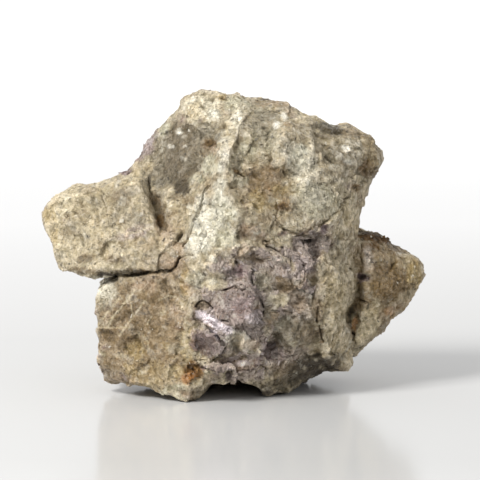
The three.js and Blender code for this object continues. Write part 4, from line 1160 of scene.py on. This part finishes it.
def stone_material():
    """Broken pegmatite: its minerals as tilted crystals and grains, with painted shade in the hollows and cracks and
    painted light on the ridges.
    """
    n = Nodes(bpy.data.materials.new("broken_pegmatite"))
    speckle, gloss, mica, behind = (n.stored(name) for name in ("speckle", "gloss", "mica", "behind"))

    # Lighter and darker crystals and grains, with clouds over them and streaks along them.
    bent = n.warped(2.0 * MM, 1.5 * MM)
    bent_more = n.warped(5.0 * MM, 5.0 * MM)
    cloud = n.noise(2.6 * MM, 4.0)
    fine = n.noise(2.4 * MM, 8.0, 0.82)
    streak = n.streaks(0.9 * MM, bent_more, (0.5, 0.75, 0.3), 0.2)
    large = n.grains(9.0 * MM, bent_more)
    crystal = n.grains(2.3 * MM, bent)
    shard = n.grains(1.3 * MM, bent_more)
    grain = n.grains(0.8 * MM, bent)
    crystals = n.channels(crystal)
    grains = n.channels(grain)
    light = n.total(
        n.swing(cloud, 0.14, 0.3, 0.7),
        n.swing(fine, 0.3, 0.37, 0.63),
        n.swing(crystals[0], 0.22),
        n.swing(grains[0], 0.24),
        n.swing(n.noise(0.65 * MM, 3.0, 0.6), 0.17, 0.32, 0.68),
        n.swing(n.channels(shard)[0], 0.32),
        n.product(n.swing(streak, 0.3, 0.3, 0.7), n.ramp(mica, 0.0, 1.0, 0.35)),
        n.product(behind, n.swing(n.channels(large)[0], 0.3)),
    )
    # Times the stored painted shade and light of hollows, cracks and ridges.
    light = n.product(n.math("MULTIPLY_ADD", light, speckle, MEAN_LIGHT), n.stored("shade"))
    # Hair cracks between the larger crystals, here and there.
    edge = n.grain_edges(6.0 * MM, bent_more)
    hair = n.product(n.ramp(edge, 0.0, 0.02, 1.0, 0.0), n.ramp(n.noise(4.0 * MM, 2.0), 0.58, 0.68))
    light = n.product(light, n.ramp(hair, 0.0, 1.0, 1.0, 0.6))
    # The dark grains are the richest in colour.
    colour = n.darkened(n.stored("tint", "Color"), light)
    rich = {"Saturation": n.ramp(light, 0.6, 2.1, 1.34, 0.72), "Color": colour}
    colour = n.add("ShaderNodeHueSaturation", rich)
    # Warmer and cooler stone, small nicks that the bump sinks and that are painted dark as shade in them, bright
    # chips, and grains of other minerals.
    nick = n.noise(1.3 * MM, 4.0, 0.8, bent)
    dark_spot = n.product(n.ramp(grains[1], 0.94, 0.95), n.ramp(cloud, 0.45, 0.55))
    pale_spot = n.product(n.ramp(crystals[2], 0.9, 0.94), n.ramp(fine, 0.4, 0.55))
    for mark, strength, tone, blend in (
        (n.ramp(n.noise(3.5 * MM, 3.0), 0.45, 0.65), 0.35, (1.1, 0.98, 0.82, 1.0), "MULTIPLY"),
        (n.ramp(crystals[1], 0.6, 0.7), 0.3, (0.93, 0.97, 1.0, 1.0), "MULTIPLY"),
        (n.ramp(nick, 0.6, 0.66), 0.6, (0.3, 0.27, 0.24, 1.0), "MULTIPLY"),
        (n.ramp(nick, 0.42, 0.37), 0.7, (1.45, 1.43, 1.4, 1.0), "MULTIPLY"),
        (dark_spot, 0.5, (0.07, 0.055, 0.04, 1.0), "MIX"),
        (pale_spot, 0.3, (0.72, 0.68, 0.58, 1.0), "MIX"),
    ):
        colour = n.mix(n.product(mark, speckle, strength), colour, tone, blend)

    rough = n.math("ADD", n.ramp(gloss, 0.0, 1.0, 0.85, 0.3), n.ramp(grains[2], 0.0, 1.0, -0.35, 0.1), clamp=True)

    # Each crystal and grain has its own broken face; the smallest grit is only a bump.
    tread = n.product(n.noise(2.2 * MM, 3.0, 0.5), 9.0)
    tread = n.total(n.math("FLOOR", tread), n.ramp(n.math("FRACT", tread), 0.7, 1.0))
    height = n.total(
        n.product(fine, 2.5),
        n.product(hair, -1.5),
        n.product(tread, 0.35),
        n.ramp(nick, 0.58, 0.64, 0.0, -1.0),
        n.product(streak, n.ramp(mica, 0.0, 1.0, 0.3, 1.8)),
    )
    normal = n.bump(height, 0.6 * MM, n.ramp(gloss, 0.0, 1.0, 1.0, 0.6))
    for random, lean in (
        (large, n.product(behind, 0.3)),
        (shard, 0.3),
        (crystal, n.ramp(gloss, 0.0, 1.0, 0.26, 0.36)),
        (grain, n.ramp(gloss, 0.0, 1.0, 0.5, 0.26)),
    ):
        normal = n.tilted(normal, random, lean)
    n.shade(Base_Color=colour, Roughness=rough, Normal=normal)
    return n.owner


def flake_material():
    """Pearly cleavage plates of lepidolite."""
    n = Nodes(bpy.data.materials.new("lepidolite_flakes"))
    streak = n.streaks(0.6 * MM, n.warped(3.0 * MM, 3.0 * MM), (0.3, 0.6, 0.2), 0.25)
    bumped = n.bump(n.total(streak, n.noise(1.5 * MM, 8.0, 0.8)), 0.3 * MM)
    n.shade(
        Base_Color=n.darkened(n.stored("tint", "Color"), n.ramp(streak, 0.3, 0.7, 0.75, 1.2)),
        Roughness=n.ramp(streak, 0.3, 0.7, 0.35, 0.65),
        Normal=n.tilted(bumped, n.grains(0.9 * MM, n.warped(2.0 * MM, 1.5 * MM)), 0.3),
        Specular_IOR_Level=0.6,
    )
    return n.owner


def grain_material():
    """Broken crystal: dull and glassy faces."""
    n = Nodes(bpy.data.materials.new("broken_crystals"))
    fine = n.noise(1.2 * MM, 8.0, 0.8)
    n.shade(
        Base_Color=n.darkened(n.stored("tint", "Color"), n.ramp(fine, 0.35, 0.65, 0.75, 1.25)),
        Roughness=n.ramp(n.channels(n.grains(0.7 * MM))[0], 0.0, 1.0, 0.35, 0.85),
        Normal=n.bump(fine, 0.4 * MM),
    )
    return n.owner


def floor_material(shown):
    """Smooth pale board with a faint gloss; farther back it is painted paler and made to glow, painted light standing
    in for the far light's wash.
    """
    n = Nodes(bpy.data.materials.new("pale_board"))
    back = n.add("ShaderNodeSeparateXYZ", (n.where(),), 1)
    # Painted light: the board pales and glows farther back, as if the far light washed it.
    board = n.mix(n.ramp(back, -0.14, 0.56), (*linear(shown), 1.0), (0.98, 0.98, 0.98, 1.0))
    mottle = n.ramp(n.noise(0.3, 2.0), 0.3, 0.7, 0.0, 0.02)
    n.shade(
        Base_Color=n.mix(mottle, board, (0.7, 0.7, 0.7, 1.0)),
        Emission_Color=(1.0, 1.0, 1.0, 1.0),
        Emission_Strength=n.ramp(back, 0.12, 1.4, 0.0, 0.58),
        Roughness=0.15,
        Specular_IOR_Level=0.12,
    )
    return n.owner


def soft_room(strength):
    """Light from all round, brightest low down where the white walls are."""
    n = Nodes(bpy.data.worlds.new("studio"))
    up = n.add("ShaderNodeSeparateXYZ", (n.add("ShaderNodeTexCoord", output="Generated"),), 2)
    walls = n.math("MINIMUM", n.ramp(up, 0.03, 0.3, 0.15, 1.4), n.ramp(up, 0.3, 0.7, 1.4, strength))
    n.shade(Color=(1, 1, 1, 1), Strength=walls)
    return n.owner


# --- Operators ------------------------------------------------------------------------------------------------


def aim(thing, direction):
    """Turn the camera or a light to look along a direction."""
    thing.rotation_mode = "QUATERNION"
    thing.rotation_quaternion = direction.to_track_quat("-Z", "Y")


def edit_all(mode="FACE"):
    """Go into edit mode with everything selected."""
    bpy.ops.object.mode_set(mode="EDIT")
    bpy.ops.mesh.select_mode(type=mode)
    bpy.ops.mesh.select_all(action="SELECT")


class SPECIMEN_OT_stage(bpy.types.Operator):
    """Set up the floor, the lights and the camera"""

    bl_idname = "specimen.stage"
    bl_label = "Stage"

    def execute(self, context):
        studio = context.scene.specimen_studio
        scene = context.scene
        bpy.ops.object.select_all(action="DESELECT")
        bpy.ops.mesh.primitive_plane_add(size=FLOOR_SIZE, location=(0, 0, 0))
        floor = context.object
        floor.name = "floor"
        floor.data.materials.append(floor_material(studio.floor_colour))

        back = Vector((0, -math.cos(studio.elevation), math.sin(studio.elevation)))
        bpy.ops.object.camera_add(location=Vector(VIEW_TARGET) + back * studio.distance)
        camera = context.object
        camera.name = "camera"
        aim(camera, -back)
        camera.data.lens = camera.data.sensor_width * studio.distance / studio.field
        camera.data.clip_start, camera.data.clip_end = CLIP_RANGE
        scene.camera = camera

        bpy.ops.object.light_add(type="AREA", location=KEY_PLACE)
        lamp = context.object
        lamp.name = "key"
        aim(lamp, Vector(VIEW_TARGET) - Vector(KEY_PLACE))
        lamp.data.size = KEY_SIZE
        lamp.data.energy = studio.key
        lamp.data.color = KEY_COLOUR
        scene.world = soft_room(studio.fill)
        scene.view_settings.view_transform = "Standard"
        return {"FINISHED"}


class SPECIMEN_OT_stone(bpy.types.Operator):
    """Roughen, carve and colour the stone"""

    bl_idname = "specimen.stone"
    bl_label = "Stone"

    def execute(self, context):
        settings = context.scene.specimen_stone
        stone = self.copy_of_solid(context)
        apply_modifier(stone, "REMESH", mode="VOXEL", voxel_size=settings.voxel, adaptivity=0.0)
        apply_modifier(stone, "SMOOTH", factor=0.5, iterations=SMOOTH_ROUNDS)
        set_places(stone.data, pushed(places(stone.data)))
        self.refine(stone)
        self.carve(stone, settings)
        self.thin_out(stone, settings)
        self.colour(stone, settings)
        stone.data.materials.clear()
        stone.data.materials.append(stone_material())
        select_only(stone)
        bpy.ops.object.shade_smooth_by_angle(angle=math.radians(CREASE_ANGLE))
        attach(stone, "root")
        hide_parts(CAD_NODE)
        return {"FINISHED"}

    @staticmethod
    def copy_of_solid(context):
        """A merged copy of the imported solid."""
        stone = bpy.data.objects.new("stone", frame["nodes"][CAD_NODE].data.copy())
        context.scene.collection.objects.link(stone)
        select_only(stone)
        edit_all("VERT")
        bpy.ops.mesh.remove_doubles(threshold=MERGE_DISTANCE)
        bpy.ops.object.mode_set(mode="OBJECT")
        return stone

    @staticmethod
    def refine(stone):
        """Halve the faces along the cracks, so that they can be narrow."""
        mesh = stone.data
        corners = values_of(mesh.loops, "vertex_index", np.int32)
        wanted = near_cracks(places(mesh))[corners.reshape(-1, 4)].all(axis=1)
        select_only(stone)
        edit_all()
        bpy.ops.mesh.select_all(action="DESELECT")
        bpy.ops.object.mode_set(mode="OBJECT")
        mesh.polygons.foreach_set("select", wanted)
        bpy.ops.object.mode_set(mode="EDIT")
        bpy.ops.mesh.subdivide(number_cuts=1)
        bpy.ops.object.mode_set(mode="OBJECT")

    @staticmethod
    def carve(stone, settings):
        """Move the surface by its relief, steps, pits and cracks."""
        points = places(stone.data)
        normals = normals_of(stone.data)
        finish = minerals(points)
        out = relief(points, finish[:, 3], finish[:, 6], settings) + step_heights(points)
        sunk, _ = crack_depths(points)
        points += normals * (out - CARVED_BELOW)[:, None]
        points -= normals * sunk[:, None]
        points[:, 2] = np.maximum(points[:, 2], 0)
        set_places(stone.data, points)

    @staticmethod
    def thin_out(stone, settings):
        """Take triangles away, more of them at the back."""
        points = places(stone.data)
        levels = THINNED_IN_FRONT + (1 - THINNED_IN_FRONT) * (1 - front_share(points))
        levels[near_cracks(points)] = 0.0
        levels = np.round(levels * THINNING_LEVELS) / THINNING_LEVELS
        group = stone.vertex_groups.new(name="back")
        for level in np.unique(levels):
            group.add(np.flatnonzero(levels == level).tolist(), float(level), "REPLACE")
        triangles = sum(len(face.vertices) - 2 for face in stone.data.polygons)
        ratio = min(1.0, settings.triangles / triangles)
        apply_modifier(stone, "DECIMATE", ratio=ratio, vertex_group=group.name, vertex_group_factor=1.0)
        stone.vertex_groups.clear()

    @staticmethod
    def colour(stone, settings):
        """Store each vertex's mineral, and its painted shade and light: darker the deeper it lies in a hollow or a
        crack, lighter on a ridge.
        """
        mesh = stone.data
        points = places(mesh)
        finish = minerals(points)
        _, dark = crack_depths(points)
        tight = hollowness(stone, TIGHT_ROUNDS)
        wide = hollowness(stone, WIDE_ROUNDS)
        mica = finish[:, 6]

        def change(depth, full, strength, extra=0.0):
            return smooth_step(0.0, full, depth) * (strength + extra * mica)

        # Painted shade in the hollows and cracks, and painted light on the ridges.
        dim = change(tight, *TIGHT_HOLLOW, MICA_CONTRAST) + change(wide, *WIDE_HOLLOW)
        lit = change(-tight, *TIGHT_RIDGE, MICA_CONTRAST) + change(-wide, *WIDE_RIDGE)
        shade = (1 + lit - settings.cavity_shade * dim) * (1 - CRACK_SHADE * dark)
        store(mesh, "tint", finish[:, :3])
        store(mesh, "speckle", finish[:, 4])
        store(mesh, "gloss", finish[:, 5])
        store(mesh, "mica", mica)
        store(mesh, "shade", shade)
        store(mesh, "behind", 1 - front_share(points))


class SPECIMEN_OT_mica_flakes(bpy.types.Operator):
    """Set thin, leaning plates of mica into the lepidolite"""

    bl_idname = "specimen.mica_flakes"
    bl_label = "Mica flakes"

    def execute(self, context):
        settings = context.scene.specimen_flakes
        models = [self.model(settings, seed) for seed in range(FLAKE_MODELS)]
        flakes = self.spread(models, settings)
        flakes.data.materials.append(flake_material())
        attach(flakes, "root")
        return {"FINISHED"}

    @staticmethod
    def model(settings, seed):
        """One irregular plate of radius 1, with a smaller leaf on top: its points and faces."""
        bpy.ops.object.select_all(action="DESELECT")
        bpy.ops.mesh.primitive_circle_add(vertices=9, radius=1.0, fill_type="NGON")
        plate = bpy.context.object
        edit_all()
        bpy.ops.transform.vertex_random(offset=0.5, seed=seed)
        bpy.ops.transform.resize(value=(1, 0.42, 0))
        bpy.ops.mesh.extrude_region_move(TRANSFORM_OT_translate={"value": (0, 0, settings.thickness * 0.6)})
        bpy.ops.mesh.inset(thickness=0.12)
        bpy.ops.transform.translate(value=(0.06, 0.03, settings.thickness * 0.4))
        bpy.ops.mesh.select_all(action="SELECT")
        bpy.ops.mesh.normals_make_consistent(inside=False)
        bpy.ops.object.mode_set(mode="OBJECT")
        points, faces = model_of(plate)
        points[:, 2] += 0.12 * points[:, 0] ** 2
        return points, faces

    @staticmethod
    def spread(models, settings):
        """Copies of the plates, each sunk into the stone by its own lean."""
        stone = bpy.data.objects["stone"].data
        points, normals, shade = places(stone), normals_of(stone), stored(stone, "shade")
        random = np.random.default_rng(FLAKE_SEED)
        crowd = smooth_step(-0.35, 0.35, wave(points, 5.0, 101)) + 0.12
        crowd *= (1 - 0.98 * plate_share(points)) * (0.25 + 0.75 * front_share(points))
        crowd *= smooth_step(0.65, 0.95, stored(stone, "mica"))
        chosen = spread_places(random, stone, crowd, settings.count)
        base, out = points[chosen], normals[chosen]

        facing = out + settings.lean * drift(base, 7.0, 102, wave) + random.normal(0, 0.1, out.shape)
        drawn = drift(base, 8.0, 105, wave) + random.normal(0, 0.25, out.shape)
        axes = axes_of(facing, drawn)
        radius = settings.radius / MM * np.exp(random.normal(0, 0.42, len(chosen))).clip(0.45, 2.0)
        radius *= 0.6 + 0.4 * front_share(base)
        slant = np.sqrt(np.clip(1 - (axes[:, 2] * out).sum(1) ** 2, 0, 1))
        base = base - out * (0.02 + 0.7 * radius * slant)[:, None]

        tints = pick(random.random(len(chosen)), FLAKE_MINERALS)[:, :3]
        tints = 0.2 * tints + 0.8 * minerals(points[chosen])[:, :3]
        # The flakes take the stone's painted shade.
        tints *= np.exp(random.normal(0, 0.13, (len(chosen), 1))) * (0.25 + 0.75 * shade[chosen, None])
        return scattered("mica_flakes", models, base, axes, radius, tints)


class SPECIMEN_OT_crystal_grains(bpy.types.Operator):
    """Set small broken crystals into the feldspar and quartz"""

    bl_idname = "specimen.crystal_grains"
    bl_label = "Crystal grains"

    def execute(self, context):
        settings = context.scene.specimen_grains
        models = [self.model(seed) for seed in range(GRAIN_MODELS)]
        grains = self.spread(models, settings)
        grains.data.materials.append(grain_material())
        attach(grains, "root")
        return {"FINISHED"}

    @staticmethod
    def model(seed):
        """One angular chip about 2 across, with its top near zero."""
        bpy.ops.object.select_all(action="DESELECT")
        bpy.ops.mesh.primitive_cube_add(size=2)
        chip = bpy.context.object
        edit_all()
        bpy.ops.transform.vertex_random(offset=0.75, seed=seed)
        bpy.ops.transform.resize(value=(0.9, 0.65, 0.5))
        bpy.ops.mesh.quads_convert_to_tris()
        bpy.ops.mesh.normals_make_consistent(inside=False)
        bpy.ops.object.mode_set(mode="OBJECT")
        points, faces = model_of(chip)
        points[:, 2] -= points[:, 2].max()
        return points, faces

    @staticmethod
    def spread(models, settings):
        """Copies of the chips, sunk until they stand out only a little."""
        stone = bpy.data.objects["stone"].data
        points, normals, shade = places(stone), normals_of(stone), stored(stone, "shade")
        random = np.random.default_rng(GRAIN_SEED)
        crowd = 0.4 + 0.6 * smooth_step(-0.3, 0.3, wave(points, 6.0, 111))
        crowd *= 0.12 + 0.88 * front_share(points)
        crowd *= (1 - 0.75 * stored(stone, "mica")) * smooth_step(0.3, 0.7, shade)
        chosen = spread_places(random, stone, crowd, settings.count)
        finish = minerals(points[chosen])
        rough_enough = random.random(len(chosen)) < 0.22 + 0.85 * smooth_step(0.3, 0.65, finish[:, 3])
        chosen, tints = chosen[rough_enough], finish[rough_enough, :3]
        base, out = points[chosen], normals[chosen]

        facing = out + random.normal(0, settings.lean, out.shape)
        axes = axes_of(facing, random.normal(0, 1, out.shape))
        radius = settings.radius / MM * np.exp(random.normal(0, 0.4, len(chosen))).clip(0.5, 2.6)
        base = base + out * (settings.proud / MM * random.uniform(0.3, 1.3, len(chosen)))[:, None]

        kind = random.random(len(chosen))
        # The chips take the stone's painted shade, so that those in hollows and cracks are darker.
        tints *= np.exp(random.normal(0, 0.12, (len(chosen), 1))) * shade[chosen, None] * settings.light
        white = (kind < settings.white)[:, None] * 0.6
        tints = tints * (1 - white) + white * np.array(WHITE_CHIP)
        tints *= np.where(kind > 1 - settings.dark, 0.35, 1.0)[:, None]
        return scattered("crystal_grains", models, base, axes, radius, tints)


class SPECIMEN_PT_panel(bpy.types.Panel):
    """The specimen's pieces and settings"""

    bl_idname = "SPECIMEN_PT_panel"
    bl_label = "Pegmatite specimen"
    bl_space_type = "VIEW_3D"
    bl_region_type = "UI"
    bl_category = "Specimen"

    def draw(self, context):
        layout = self.layout
        for operator in OPERATORS:
            layout.operator(operator.bl_idname)
        for group in SETTINGS:
            settings = getattr(context.scene, group)
            box = layout.box()
            for name in settings.bl_rna.properties.keys():
                if name not in {"rna_type", "name"}:
                    box.prop(settings, name)


OPERATORS = (
    SPECIMEN_OT_stage,
    SPECIMEN_OT_stone,
    SPECIMEN_OT_mica_flakes,
    SPECIMEN_OT_crystal_grains,
)
SETTINGS = {
    "specimen_colours": MineralColours,
    "specimen_stone": StoneSettings,
    "specimen_flakes": FlakeSettings,
    "specimen_grains": GrainSettings,
    "specimen_studio": StudioSettings,
}
CLASSES = (*SETTINGS.values(), *OPERATORS, SPECIMEN_PT_panel)


def register():
    for each in CLASSES:
        bpy.utils.register_class(each)
    for name, settings in SETTINGS.items():
        setattr(bpy.types.Scene, name, PointerProperty(type=settings))


def unregister():
    for name in SETTINGS:
        delattr(bpy.types.Scene, name)
    for each in reversed(CLASSES):
        bpy.utils.unregister_class(each)


def main():
    register()
    bpy.ops.specimen.stage()
    bpy.ops.specimen.stone()
    bpy.ops.specimen.mica_flakes()
    bpy.ops.specimen.crystal_grains()


if __name__ == "__main__":
    main()
